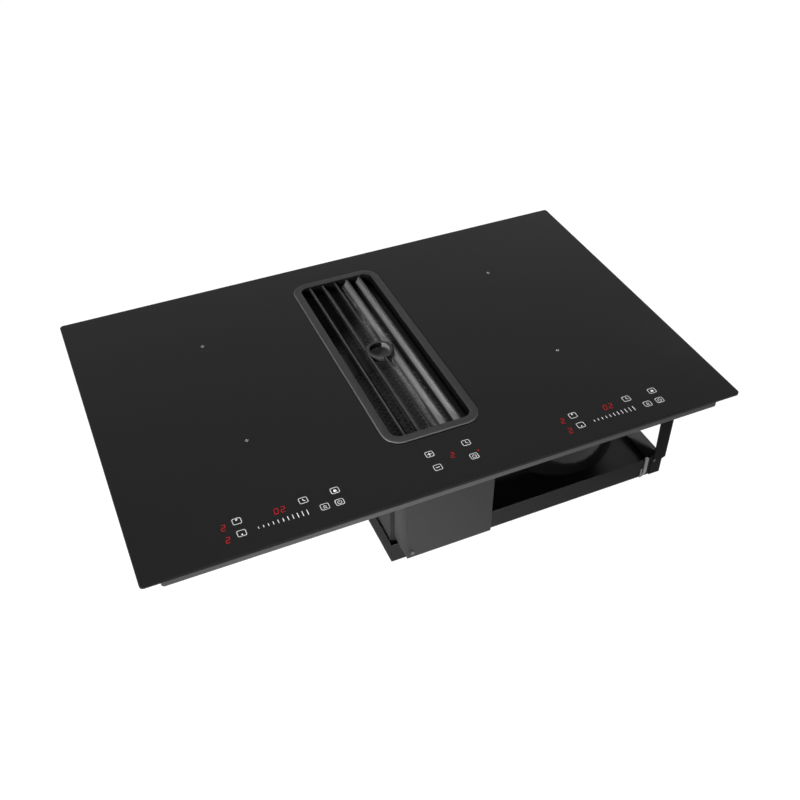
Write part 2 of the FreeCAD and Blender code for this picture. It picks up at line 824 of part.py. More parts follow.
def make_grille_pads():
    """Soft pads that the rim rests on, at the middle of each side."""
    middle_x = size("opening_width") / 2 + size("rim_band") - size("pad_width")
    middle_y = OPENING_LENGTH / 2 + size("rim_band") - size("pad_width")
    half, thin = size("pad_length") / 2, size("pad_width") / 2
    pads = []
    for side in (-1, 1):
        for step in (-1, 1):
            y = GRILLE_Y + step * OPENING_LENGTH / 4
            name = f"Pad{'RL'[side < 0]}{'BF'[step < 0]}"
            x = side * middle_x
            pads.append(block(name, (x - thin, x + thin), (y - half, y + half), (GLASS_TOP, RIM_UNDER)))
        y = GRILLE_Y + side * middle_y
        name = f"PadEnd{'BF'[side < 0]}"
        pads.append(block(name, (-half, half), (y - thin, y + thin), (GLASS_TOP, RIM_UNDER)))
    keep(group("Pads", pads), "grille_pads")


# ---------------------------------------------------------------- grease filter and drip tray
def make_filter():
    body = new_body("FilterFrame")
    corner = HOLE_CORNER - size("filter_gap")
    block_sketch = rounded_rectangle(body, "outside", (0, GRILLE_Y, FILTER_BOTTOM), FILTER_SPAN, corner)
    pad(body, block_sketch, size("filter_height"), "block")
    inner = tuple(span - 2 * size("filter_sheet") for span in FILTER_SPAN)
    hollow = rounded_rectangle(
        body,
        "inside",
        (0, GRILLE_Y, FILTER_TOP - size("filter_sheet")),
        inner,
        corner - size("filter_sheet"),
    )
    pocket(body, hollow, size("filter_height") - size("filter_sheet"), "underside")
    window = (
        FILTER_SPAN[0] - 2 * size("filter_band"),
        (FILTER_SPAN[1] - size("filter_bridge")) / 2 - size("filter_band"),
    )
    away = (size("filter_bridge") + window[1]) / 2
    for side, word in ((-1, "front"), (1, "rear")):
        hole = rectangle(body, f"{word}_window", (0, GRILLE_Y + side * away, FILTER_TOP), window)
        pocket(body, hole, size("filter_sheet"), f"{word}_hole")
    keep(body, "filter_frame")

    top = FILTER_TOP - size("filter_sheet")
    lap = size("mesh_drop")
    half_x = window[0] / 2 + lap
    sheets = []
    for side, word in ((-1, "Front"), (1, "Rear")):
        middle = GRILLE_Y + side * away
        half_y = window[1] / 2 + lap
        sheets.append(
            block(
                f"Mesh{word}",
                (-half_x, half_x),
                (middle - half_y, middle + half_y),
                (top - size("mesh_thick"), top),
            )
        )
    low = FILTER_BOTTOM + size("mesh_drop")
    half_x = FILTER_SPAN[0] / 2 - size("filter_sheet")
    half_y = FILTER_SPAN[1] / 2 - corner
    sheets.append(
        block(
            "MeshLower",
            (-half_x, half_x),
            (GRILLE_Y - half_y, GRILLE_Y + half_y),
            (low, low + size("mesh_thick")),
        )
    )
    keep(group("Meshes", sheets), "filter_mesh")

    half = size("grip_length") / 2
    bar = size("grip_bar") / 2
    over = block(
        "Grip_bar",
        (-half, half),
        (GRILLE_Y - bar, GRILLE_Y + bar),
        (FILTER_TOP + size("grip_height") - size("grip_bar") / 2, FILTER_TOP + size("grip_height")),
    )
    feet = [
        block(
            f"Grip_foot_{word}",
            (low, low + size("grip_bar")),
            (GRILLE_Y - bar, GRILLE_Y + bar),
            (FILTER_TOP, FILTER_TOP + size("grip_height")),
        )
        for word, low in (("left", -half), ("right", half - size("grip_bar")))
    ]
    keep(fuse("Grip", over, *feet), "filter_handle")


def make_drip_tray():
    body = new_body("DripTray")
    mouth = tuple(span - 2 * size("ledge_width") - 2 * size("drip_gap") for span in HOLE_SPAN)
    bottom = PAN_FLOOR + size("plenum_wall") + size("drip_rest")
    corner = HOLE_CORNER - size("ledge_width")
    base = rounded_rectangle(body, "outside", (0, GRILLE_Y, bottom), mouth, corner)
    pad(body, base, size("drip_height"), "block")
    inner = tuple(span - 2 * size("drip_wall") for span in mouth)
    hollow = rounded_rectangle(
        body, "inside", (0, GRILLE_Y, bottom + size("drip_height")), inner, corner - size("drip_wall")
    )
    pocket(body, hollow, size("drip_height") - size("drip_wall"), "hollow")
    keep(body, "drip_tray")


# ---------------------------------------------------------------- air box and base frame
def make_plenum():
    body = new_body("Plenum")
    outer = (2 * PLENUM_RIGHT, 2 * PLENUM_HALF)
    inner = tuple(span - 2 * size("plenum_wall") for span in outer)
    tall = CASE_BOTTOM - PAN_FLOOR
    base = rectangle(body, "outside", (0, GRILLE_Y, PAN_FLOOR), outer)
    pad(body, base, tall, "block")
    hollow = rectangle(body, "inside", (0, GRILLE_Y, CASE_BOTTOM), inner)
    pocket(body, hollow, tall - size("plenum_wall"), "hollow")
    wall = size("duct_wall")
    window = rectangle(
        body,
        "window",
        ((DUCT_FRONT + DUCT_REAR) / 2, (VOLUTE_TOP + DUCT_TOP) / 2, PLENUM_RIGHT),
        (DUCT_REAR - DUCT_FRONT - 2 * wall, DUCT_TOP - VOLUTE_TOP - 2 * wall),
        "YZ_Plane",
    )
    pocket(body, window, size("plenum_wall"), "side_window")
    keep(body, "plenum")


def make_suction_duct():
    wall = size("duct_wall")
    shell = block(
        "Duct_outside", (PLENUM_RIGHT, DUCT_RIGHT), (DUCT_FRONT, DUCT_REAR), (VOLUTE_TOP, DUCT_TOP)
    )
    air = block(
        "Duct_air",
        (PLENUM_RIGHT, DUCT_RIGHT - wall),
        (DUCT_FRONT + wall, DUCT_REAR - wall),
        (VOLUTE_TOP + wall, DUCT_TOP - wall),
    )
    eye = rod("Duct_eye", (FAN_X, FAN_Y, VOLUTE_TOP), size("eye_radius"), wall)
    keep(cut("SuctionDuct", shell, air, eye), "suction_duct")


def make_pan():
    body = new_body("Pan")
    middle = ((PAN_LEFT + PAN_RIGHT) / 2, (PAN_FRONT + PAN_REAR) / 2)
    outer = (PAN_RIGHT - PAN_LEFT, PAN_REAR - PAN_FRONT)
    inner = tuple(span - 2 * size("pan_wall") for span in outer)
    base = rectangle(body, "outside", (*middle, PAN_BOTTOM), outer)
    pad(body, base, size("pan_height"), "block")
    hollow = rectangle(body, "inside", (*middle, PAN_TOP), inner)
    pocket(body, hollow, size("pan_height") - size("pan_wall"), "hollow")
    low = OUTLET_Z - size("outlet_height") / 2 - size("outlet_lip")
    gap_width = size("outlet_width") + 2 * size("outlet_lip")
    notch = rectangle(
        body,
        "notch",
        (OUTLET_X, low + size("pan_height"), -PAN_REAR),
        (gap_width, 2 * size("pan_height")),
        "XZ_Plane",
    )
    pocket(body, notch, size("pan_wall"), "outlet_notch", True)
    keep(body, "base_pan")


def make_posts():
    """Bent posts that hang the pan from the case: two at the right, one at the rear left."""
    top = CASE_BOTTOM
    wall = size("pan_wall")
    shoulder = PAN_TOP + size("post_shoulder")
    jog = PAN_TOP - size("post_jog")
    spots = (
        ("PostFront", "post_front_right", CASE_RIGHT, -1, PAN_FRONT - wall, PAN_RIGHT, 1),
        ("PostRear", "post_rear_right", CASE_RIGHT, -1, PAN_REAR, PAN_RIGHT, -1),
        ("PostLeft", "post_rear_left", PAN_LEFT, 1, PAN_REAR, PAN_LEFT, -1),
    )
    for name, label, outside, inward, face, pan_side, behind in spots:
        inside = outside + inward * size("post_width")
        foot = inside + inward * size("post_foot") if behind > 0 else inside
        head = inside + inward * size("post_flare") if behind > 0 else inside
        plate = new_body(f"{name}Plate")
        step = size("post_step")
        corners = [
            (foot, PAN_BOTTOM),
            (pan_side, PAN_BOTTOM),
            (pan_side, jog - step),
            (outside, jog),
            (outside, top),
            (head, top),
            (inside, shoulder),
            (foot, jog),
        ]
        if foot is inside:
            del corners[6:8]
        if outside is pan_side:
            del corners[2:4]
        front = polygon(plate, "face", (0, 0, -face), corners, "XZ_Plane")
        pad(plate, front, wall, "sheet", True)
        near = face if behind < 0 else face + wall
        far = near - size("post_leg") if behind < 0 else near + size("post_leg")
        y = (far, near) if behind < 0 else (near, far)
        edge = (outside - wall, outside) if inward < 0 else (outside, outside + wall)
        leg = block(f"{name}Leg", edge, y, (shoulder, top))
        span = (inside, outside) if inward < 0 else (outside, inside)
        tab = block(f"{name}Tab", span, y, (top - wall, top))
        keep(fuse(name, plate, leg, tab), label)


def make_front_housing():
    wall = size("box_wall")
    body = new_body("FrontHousing")
    middle_y = (BOX_FRONT + BOX_REAR) / 2
    base = rectangle(body, "outside", (0, middle_y, BOX_BOTTOM), (size("box_width"), size("box_depth")))
    pad(body, base, size("box_height"), "block")
    hollow = rectangle(
        body,
        "inside",
        (0, (BOX_BOTTOM + CASE_BOTTOM) / 2, -BOX_REAR),
        (size("box_width") - 2 * wall, size("box_height") - 2 * wall),
        "XZ_Plane",
    )
    pocket(body, hollow, size("box_depth") - wall, "hollow", True)
    keep(body, "front_housing")

    inset = wall + size("box_back_gap")
    back = block(
        "HousingBack",
        (-BOX_RIGHT + inset, BOX_RIGHT - inset),
        (BOX_REAR - wall, BOX_REAR),
        (BOX_BOTTOM + inset, CASE_BOTTOM - inset),
    )
    keep(back, "front_housing_back")

    half = size("terminal_width") / 2
    body_bottom = BOX_BOTTOM + wall
    strip = block(
        "TerminalBody",
        (-half, half),
        (middle_y - size("terminal_depth") / 2, middle_y + size("terminal_depth") / 2),
        (body_bottom, body_bottom + size("terminal_height")),
    )
    ways = []
    for way in range(5):
        x = -half + size("terminal_width") * (way + 0.5) / 5
        top = body_bottom + size("terminal_height")
        start = (x, middle_y, top - size("terminal_way_depth"))
        ways.append(rod(f"TerminalWay{way}", start, size("terminal_way"), size("terminal_way_depth")))
    keep(cut("TerminalBlock", strip, *ways), "terminal_block")


# ---------------------------------------------------------------- radial fan
def make_volute():
    wall = size("volute_wall")
    radius = size("volute_radius")
    bowls = []
    for word, inset in (("Outside", 0), ("Inside", wall)):
        bowl = new_body(f"Bowl{word}")
        outline = horseshoe(
            bowl, "outline", (FAN_X, FAN_Y, VOLUTE_BOTTOM + inset), radius - inset, THROAT_REACH
        )
        solid = pad(bowl, outline, VOLUTE_SPLIT - VOLUTE_BOTTOM - inset, "solid")
        doc.recompute()
        rear = number(THROAT_REAR) - 0.01
        level = number(VOLUTE_BOTTOM + inset)
        floor = edges_at(solid.Shape, level, lambda edge: edge.BoundBox.YMin < rear)
        dress(bowl, "Fillet", solid, floor, size("bowl_edge") - inset, "round")
        bowls.append(bowl)
    keep(cut("VoluteLower", *bowls), "volute_lower")

    upper = new_body("VoluteUpper")
    outline = horseshoe(upper, "outside", (FAN_X, FAN_Y, VOLUTE_SPLIT), radius, THROAT_REACH)
    pad(upper, outline, VOLUTE_TOP - VOLUTE_SPLIT, "lid")
    air = horseshoe(
        upper, "inside", (FAN_X, FAN_Y, VOLUTE_TOP - wall), radius - wall, THROAT_REACH
    )
    pocket(upper, air, VOLUTE_TOP - VOLUTE_SPLIT - wall, "hollow")
    eye = circle(upper, "eye", (FAN_X, FAN_Y, VOLUTE_TOP), size("eye_radius"))
    pocket(upper, eye, wall, "eye_hole")
    keep(upper, "volute_upper")

    feet = []
    for turn in (90, 210, 330):
        away = Vector(math.cos(math.radians(turn)), math.sin(math.radians(turn)), 0)
        x = FAN_X + size("foot_circle") * away.x
        y = FAN_Y + size("foot_circle") * away.y
        feet.append(rod(f"Foot{turn}", (x, y, PAN_FLOOR), size("foot_radius"), size("volute_lift")))
    keep(group("Feet", feet), "volute_feet")


def make_motor():
    floor = VOLUTE_BOTTOM + size("volute_wall")
    clear = size("seat_clearance")
    stator = tube(
        "Stator",
        (FAN_X, FAN_Y, floor),
        size("stator_radius"),
        size("bearing_radius") + clear,
        size("stator_height"),
    )
    keep(stator, "motor_stator")
    bearings = []
    for word, z in (("Low", floor), ("High", floor + size("stator_height") - size("bearing_width"))):
        bearings.append(
            tube(
                f"Bearing{word}",
                (FAN_X, FAN_Y, z),
                size("bearing_radius"),
                size("shaft_radius") + size("shaft_clearance"),
                size("bearing_width"),
            )
        )
    keep(group("Bearings", bearings), "motor_bearings")

    can_bottom = floor + size("rotor_lift")
    can_inner = size("stator_radius") + size("rotor_gap")
    can_outer = can_inner + size("rotor_wall")
    can_top = floor + size("stator_height") + size("rotor_gap") + size("rotor_wall")
    whole = rod("Can_outside", (FAN_X, FAN_Y, can_bottom), can_outer, can_top - can_bottom)
    deep = can_top - can_bottom - size("rotor_wall")
    inside = rod("Can_inside", (FAN_X, FAN_Y, can_bottom), can_inner, deep)
    bore = rod("Can_bore", (FAN_X, FAN_Y, can_bottom), size("shaft_radius") + clear, can_top - can_bottom)
    keep(cut("RotorCan", whole, inside, bore), "motor_rotor")

    shaft_bottom = floor + size("shaft_lift")
    shaft_top = can_top + size("wheel_sheet") + size("hub_height") + size("shaft_end")
    shaft = rod("Shaft", (FAN_X, FAN_Y, shaft_bottom), size("shaft_radius"), shaft_top - shaft_bottom)
    keep(shaft, "motor_shaft")
    return can_top


def make_wheel(seat):
    """Back plate with its hub, the shroud ring round the eye, and the blades between them."""
    body = new_body("Wheel")
    place(body, FAN_X, FAN_Y, seat)
    sheet_thick = size("wheel_sheet")
    disc = circle(body, "disc", (0, 0, 0), size("wheel_radius"))
    pad(body, disc, sheet_thick, "back_plate")
    hub = circle(body, "hub", (0, 0, sheet_thick), size("hub_radius"))
    pad(body, hub, size("hub_height"), "hub_boss")
    tall = sheet_thick + size("hub_height")
    bore = circle(body, "bore", (0, 0, tall), size("shaft_radius") + size("seat_clearance"))
    pocket(body, bore, tall, "bore_hole")

    shroud_under = seat + size("wheel_width") - sheet_thick
    shroud = tube(
        "Shroud",
        (FAN_X, FAN_Y, shroud_under),
        size("wheel_radius"),
        size("wheel_radius") - size("wheel_shroud"),
        sheet_thick,
    )
    keep(group("WheelDiscs", [body, shroud]), "fan_wheel")

    root = seat + sheet_thick
    blades = [
        spoke(
            f"Blade{index}",
            (FAN_X, FAN_Y),
            size("wheel_radius") - size("blade_inset") - size("blade_reach") / 2,
            360 / BLADES * index,
            SIZES["blade_turn"],
            (size("blade_reach"), size("blade_thick"), shroud_under - root),
            root,
        )
        for index in range(BLADES)
    ]
    keep(group("BladeRing", blades), "fan_blades")


def make_outlet():
    wall = size("outlet_wall")
    lip = size("outlet_lip")
    half_w, half_h = size("outlet_width") / 2, size("outlet_height") / 2
    flange = block(
        "Outlet_flange",
        (OUTLET_X - half_w - lip, OUTLET_X + half_w + lip),
        (THROAT_REAR, THROAT_REAR + wall),
        (OUTLET_Z - half_h - lip, OUTLET_Z + half_h + lip),
    )
    sleeve = block(
        "Outlet_sleeve",
        (OUTLET_X - half_w, OUTLET_X + half_w),
        (THROAT_REAR, OUTLET_REAR),
        (OUTLET_Z - half_h, OUTLET_Z + half_h),
    )
    air = block(
        "Outlet_air",
        (OUTLET_X - half_w + wall, OUTLET_X + half_w - wall),
        (THROAT_REAR + wall, OUTLET_REAR),
        (OUTLET_Z - half_h + wall, OUTLET_Z + half_h - wall),
    )
    hinge_y = THROAT_REAR + wall + size("flap_setback")
    barrel = size("flap_barrel")
    hinge_z = OUTLET_Z + half_h - wall - barrel - size("flap_gap")
    leaf_front = hinge_y - size("flap_thick") / 2
    throat = size("volute_radius") - size("volute_wall") - size("outlet_throat_inset")
    seat_band = size("outlet_seat")
    seat_low = OUTLET_Z - half_h + wall
    seat_high = hinge_z - barrel - size("flap_gap")
    seat = block(
        "Outlet_seat",
        (FAN_X - throat - seat_band, FAN_X + throat + seat_band),
        (THROAT_REAR + wall, leaf_front - size("flap_rest")),
        (seat_low, seat_high),
    )
    mouth = block(
        "Outlet_mouth",
        (FAN_X - throat, FAN_X + throat),
        (THROAT_REAR, leaf_front),
        (seat_low + seat_band, seat_high - seat_band),
    )
    pin_radius = size("flap_pin_radius")
    pin_hole = rod(
        "Outlet_pin_hole",
        (OUTLET_X - half_w, hinge_y, hinge_z),
        pin_radius + size("seat_clearance"),
        size("outlet_width"),
        "x",
    )
    tube_ = cut("Outlet_tube", fuse("Outlet_body", flange, sleeve), air)
    keep(cut("OutletSpigot", fuse("Outlet_seated", tube_, seat), mouth, pin_hole), "outlet_spigot")

    pin = rod("FlapPin", (OUTLET_X - half_w, hinge_y, hinge_z), pin_radius, size("outlet_width"), "x")
    keep(pin, "flap_pin")

    side = half_w - wall - size("flap_gap")
    leaf = block(
        "Flap_leaf",
        (OUTLET_X - side, OUTLET_X + side),
        (leaf_front, leaf_front + size("flap_thick")),
        (seat_low + size("flap_gap"), hinge_z),
    )
    roll = rod("Flap_roll", (OUTLET_X - side, hinge_y, hinge_z), barrel, 2 * side, "x")
    bore = rod(
        "Flap_bore",
        (OUTLET_X - side, hinge_y, hinge_z),
        pin_radius + size("shaft_clearance"),
        2 * side,
        "x",
    )
    keep(cut("OutletFlap", fuse("Flap_body", leaf, roll), bore), "outlet_flap")


# ---------------------------------------------------------------- induction coils and touch boards
ZONES = (("front_left", -1, -1), ("front_right", 1, -1), ("rear_left", -1, 1), ("rear_right", 1, 1))


def zone_place(side, row):
    return side * ZONE_ACROSS, ZONE_MIDDLE + row * ZONE_PITCH / 2


def make_coils():
    carriers, micas, bars, supports, sensors = [], [], [], [], []
    for word, side, row in ZONES:
        x, y = zone_place(side, row)
        name = word.title().replace("_", "")
        winding = tube(
            f"Winding{name}",
            (x, y, COIL_UNDER),
            COIL_RADIUS - size("coil_edge"),
            size("coil_eye"),
            size("coil_thick"),
        )
        keep(winding, f"coil_winding_{word}")
        eye = size("coil_eye") / 2
        low, high = (x, y, CARRIER_UNDER), (x, y, MICA_UNDER)
        carriers.append(tube(f"Carrier{name}", low, COIL_RADIUS, eye, size("carrier_thick")))
        micas.append(tube(f"Mica{name}", high, COIL_RADIUS, eye, size("mica_thick")))
        sensors.append(
            rod(f"Sensor{name}", (x, y, CASE_FLOOR), size("sensor_radius"), GLASS_UNDER - CASE_FLOOR)
        )
        for index in range(8):
            bars.append(
                spoke(
                    f"Ferrite{name}{index}",
                    (x, y),
                    COIL_RADIUS - size("ferrite_end_gap") - size("ferrite_length") / 2,
                    45 * index + 22.5,
                    0,
                    (size("ferrite_length"), size("ferrite_width"), size("ferrite_thick")),
                    FERRITE_UNDER,
                )
            )
        for index in range(4):
            turn = math.radians(90 * index)
            away = COIL_RADIUS - size("support_radius") - size("support_inset")
            supports.append(
                rod(
                    f"Support{name}{index}",
                    (x + away * math.cos(turn), y + away * math.sin(turn), CASE_FLOOR),
                    size("support_radius"),
                    CARRIER_UNDER - CASE_FLOOR,
                )
            )
    keep(group("Carriers", carriers), "coil_carriers")
    keep(group("Micas", micas), "mica_sheets")
    keep(group("Ferrites", bars), "ferrite_bars")
    keep(group("Supports", supports), "coil_supports")
    keep(group("Sensors", sensors), "temperature_sensors")


def make_touch_boards():
    front, rear = TOUCH_FRONT, TOUCH_REAR
    rib = size("touch_rib")
    board_top = GLASS_UNDER - size("display_height")
    board_under = board_top - size("board_thick")
    spots = (
        ("Left", -ZONE_ACROSS, size("touch_width"), (-0.43, 0)),
        ("Centre", 0 * ZONE_ACROSS, size("centre_touch_width"), (0,)),
        ("Right", ZONE_ACROSS, size("touch_width"), (-0.43, 0)),
    )
    carriers, boards, displays = [], [], []
    for word, x, width, places in spots:
        half = width / 2
        carriers.append(
            cut(
                f"TouchCarrier{word}",
                block(
                    f"TouchCarrier{word}_block",
                    (x - half, x + half),
                    (front, rear),
                    (CASE_FLOOR, board_under),
                ),
                block(
                    f"TouchCarrier{word}_hollow",
                    (x - half + rib, x + half - rib),
                    (front + rib, rear - rib),
                    (CASE_FLOOR, board_under - size("touch_deck")),
                ),
            )
        )
        level = (board_under, board_top)
        boards.append(block(f"TouchBoard{word}", (x - half, x + half), (front, rear), level))
        middle = (front + rear) / 2
        for index, share in enumerate(places):
            across = x + share * width
            displays.append(
                block(
                    f"Display{word}{index}",
                    (across - size("display_width") / 2, across + size("display_width") / 2),
                    (middle - size("display_depth") / 2, middle + size("display_depth") / 2),
                    (board_top, GLASS_UNDER),
                )
            )
    keep(group("TouchCarriers", carriers), "touch_carriers")
    keep(group("TouchBoards", boards), "touch_boards")
    keep(group("Displays", displays), "display_blocks")


# ---------------------------------------------------------------- generators
def make_generator(word, side):
    """Open-topped housing under the case, with its board, heat sink and cooling fan."""
    inner, outer = side * GENERATOR_INNER, side * GENERATOR_OUTER
    low_x, high_x = (inner, outer) if side > 0 else (outer, inner)
    front, rear = GENERATOR_FRONT, GENERATOR_REAR
    wall = size("generator_wall")
    middle_x, middle_y = (low_x + high_x) / 2, (front + rear) / 2
    cooler_x = side * (GENERATOR_OUTER - size("cooler_size") / 2 - size("cooler_side_gap"))
    mark = word.title()

    body = new_body(f"Generator{mark}")
    span = (high_x - low_x, rear - front)
    base = rectangle(body, "outside", (middle_x, middle_y, GENERATOR_BOTTOM), span)
    pad(body, base, CASE_BOTTOM - GENERATOR_BOTTOM, "block")
    hollow = rectangle(
        body,
        "inside",
        (middle_x, middle_y, CASE_BOTTOM),
        (span[0] - 2 * wall, span[1] - 2 * wall),
    )
    pocket(body, hollow, CASE_BOTTOM - GENERATOR_BOTTOM - wall, "hollow")
    reach = size("cooler_size") - size("slot_margin")
    slot = rectangle(
        body,
        "slot",
        (cooler_x - reach / 2, middle_y, GENERATOR_BOTTOM + wall),
        (size("generator_slot"), reach),
    )
    cutout = pocket(body, slot, wall, "slot_hole")
    row_of(body, cutout, "X_Axis", reach, 11, "slots")
    if side < 0:
        notch = rectangle(
            body,
            "notch",
            (inner - size("cable_gland_inset"), CASE_BOTTOM, -rear),
            (2 * size("inlet_half"), CASE_BOTTOM - GENERATOR_BOTTOM + 2 * size("inlet_half")),
            "XZ_Plane",
        )
        pocket(body, notch, wall, "inlet_notch", True)
    keep(body, f"generator_housing_{word}")

    floor = GENERATOR_BOTTOM + wall
    board_z = floor + size("power_board_lift")
    cooler_low = cooler_x - size("cooler_size") / 2
    cooler_high = cooler_x + size("cooler_size") / 2
    edge, fan_gap = size("board_edge_gap"), size("board_fan_gap")
    board_x = (low_x + edge, cooler_low - fan_gap) if side > 0 else (cooler_high + fan_gap, high_x - edge)
    deck = block(
        f"PowerBoard{mark}_deck",
        board_x,
        (front + edge, rear - edge),
        (board_z, board_z + size("board_thick")),
    )
    posts, parts = [], []
    for index, (along, deep) in enumerate(((0.08, 0.08), (0.92, 0.08), (0.08, 0.92), (0.92, 0.92))):
        x = board_x[0] + (board_x[1] - board_x[0]) * along
        y = front + (rear - front) * deep
        posts.append(rod(f"PowerBoard{mark}_post{index}", (x, y, floor), 3, size("power_board_lift")))
    top = board_z + size("board_thick")
    for index in range(4):
        y = front + size("capacitor_start") + index * size("capacitor_pitch")
        x = board_x[0] + (board_x[1] - board_x[0]) * 0.2
        can = rod(
            f"PowerBoard{mark}_can{index}", (x, y, top), size("capacitor_radius"), size("capacitor_height")
        )
        parts.append(can)
    keep(fuse(f"PowerBoard{mark}", deck, *posts, *parts), f"generator_board_{word}")

    sink = new_body(f"HeatSink{mark}")
    place(sink, board_x[0] + (board_x[1] - board_x[0]) * 0.64, middle_y, top)
    sink_length = rear - front - 2 * size("sink_end_gap")
    plate = rectangle(sink, "plate", (0, 0, 0), (size("sink_width"), sink_length))
    pad(sink, plate, size("sink_base"), "base")
    fin = rectangle(
        sink,
        "fin",
        (-size("sink_width") / 2 + size("sink_fin") / 2, 0, size("sink_base")),
        (size("sink_fin"), sink_length),
    )
    fin_height = CASE_BOTTOM - size("sink_gap") - top - size("sink_base")
    first = pad(sink, fin, fin_height, "fin_pad")
    row_of(sink, first, "X_Axis", size("sink_width") - size("sink_fin"), 12, "fins")
    keep(sink, f"heat_sink_{word}")

    frame_half = size("cooler_size") / 2
    shell = block(
        f"CoolerFrame{mark}_block",
        (cooler_x - frame_half, cooler_x + frame_half),
        (middle_y - frame_half, middle_y + frame_half),
        (floor, floor + size("cooler_height")),
    )
    tunnel = rod(
        f"CoolerFrame{mark}_tunnel",
        (cooler_x, middle_y, floor + size("cooler_wall")),
        frame_half - size("cooler_wall"),
        size("cooler_height") - size("cooler_wall"),
    )
    lower = tube(
        f"CoolerFrame{mark}_lower",
        (cooler_x, middle_y, floor),
        frame_half - size("cooler_wall"),
        size("cooler_hub"),
        size("cooler_wall"),
    )
    spokes = [
        block(
            f"CoolerFrame{mark}_spoke_x",
            (cooler_x - frame_half, cooler_x + frame_half),
            (middle_y - 2, middle_y + 2),
            (floor, floor + size("cooler_wall")),
        ),
        block(
            f"CoolerFrame{mark}_spoke_y",
            (cooler_x - 2, cooler_x + 2),
            (middle_y - frame_half, middle_y + frame_half),
            (floor, floor + size("cooler_wall")),
        ),
    ]
    open_frame = cut(f"CoolerFrame{mark}_open", shell, tunnel, lower)
    pin = rod(
        f"CoolerFrame{mark}_pin", (cooler_x, middle_y, floor), size("cooler_pin"), size("cooler_height") - 4
    )
    keep(fuse(f"CoolerFrame{mark}", open_frame, *spokes, pin), f"cooling_fan_frame_{word}")

    rotor = new_body(f"CoolerRotor{mark}")
    place(rotor, cooler_x, middle_y, floor + size("cooler_wall") + size("cooler_gap") / 2)
    tall = size("cooler_height") - size("cooler_wall") - 2 * size("cooler_gap")
    hub = circle(rotor, "hub", (0, 0, 0), size("cooler_hub"))
    pad(rotor, hub, tall, "hub_pad")
    tip = frame_half - size("cooler_wall") - size("cooler_gap")
    blade = rectangle(
        rotor,
        "blade",
        ((tip + size("cooler_hub")) / 2 - 1, tall / 2, 0),
        (tip - size("cooler_hub"), size("blade_thick")),
        "XZ_Plane",
    )
    first = pad(rotor, blade, 16, "blade_pad")
    first.Midplane = True
    ring_of(rotor, first, 7, "blades")
    bore = circle(rotor, "bore", (0, 0, tall), size("cooler_pin") + size("shaft_clearance"))
    pocket(rotor, bore, tall, "bore_hole")
    keep(rotor, f"cooling_rotor_{word}")


def make_cable_gland():
    """Nylon gland for the supply cable, in a plate over the left housing's notch."""
    x = -GENERATOR_INNER - size("cable_gland_inset")
    z = (GENERATOR_BOTTOM + CASE_BOTTOM) / 2
    radius = size("cable_gland_radius")
    neck_radius = radius - size("gland_step")
    wall = size("generator_wall")
    half = size("inlet_half") + size("inlet_lap")
    sheet_ = block(
        "Inlet_sheet",
        (x - half, x + half),
        (GENERATOR_REAR, GENERATOR_REAR + wall),
        (z - half, CASE_BOTTOM),
    )
    hole = rod("Inlet_hole", (x, GENERATOR_REAR, z), neck_radius + size("gland_clearance"), wall, "y")
    keep(cut("InletPlate", sheet_, hole), "inlet_plate")

    start = GENERATOR_REAR + wall
    front, behind = size("gland_neck"), size("gland_collar")
    collar = rod("Gland_collar", (x, start, z), radius, behind, "y")
    nose = rod("Gland_nose", (x, start + behind, z), radius - size("gland_taper"), behind, "y")
    neck = rod("Gland_neck", (x, start - wall - front, z), neck_radius, wall + front, "y")
    through = wall + front + 2 * behind
    bore = rod("Gland_bore", (x, start - wall - front, z), size("cable_radius"), through, "y")
    keep(cut("CableGland", fuse("Gland_body", collar, nose, neck), bore), "cable_gland")


# ---------------------------------------------------------------- clamps, hook and screws
def make_clamps():
    """Leaf springs on the case's sides that grip the worktop's cut-out."""
    clamps = []
    thick = size("clamp_thick")
    for word, side, y in (
        ("FrontLeft", -1, -CLAMP_Y),
        ("RearLeft", -1, CLAMP_Y),
        ("FrontRight", 1, -CLAMP_Y),
        ("RearRight", 1, CLAMP_Y),
    ):
        near, far = side * CASE_RIGHT, side * (CASE_RIGHT + thick)
        x = (near, far) if side > 0 else (far, near)
        half = size("clamp_width") / 2
        strip = block(
            f"Clamp{word}_strip", x, (y - half, y + half), (CASE_BOTTOM, -size("clamp_thick"))
        )
        inner, outer = side * (CASE_RIGHT + thick), side * (CASE_RIGHT + size("clamp_bulge") / 2)
        lip = (inner, outer) if side > 0 else (outer, inner)
        foot = block(f"Clamp{word}_foot", lip, (y - half, y + half), (CASE_BOTTOM, CASE_BOTTOM + thick))
        clamps.append(fuse(f"Clamp{word}", strip, foot))
    keep(group("Clamps", clamps), "worktop_clamps")


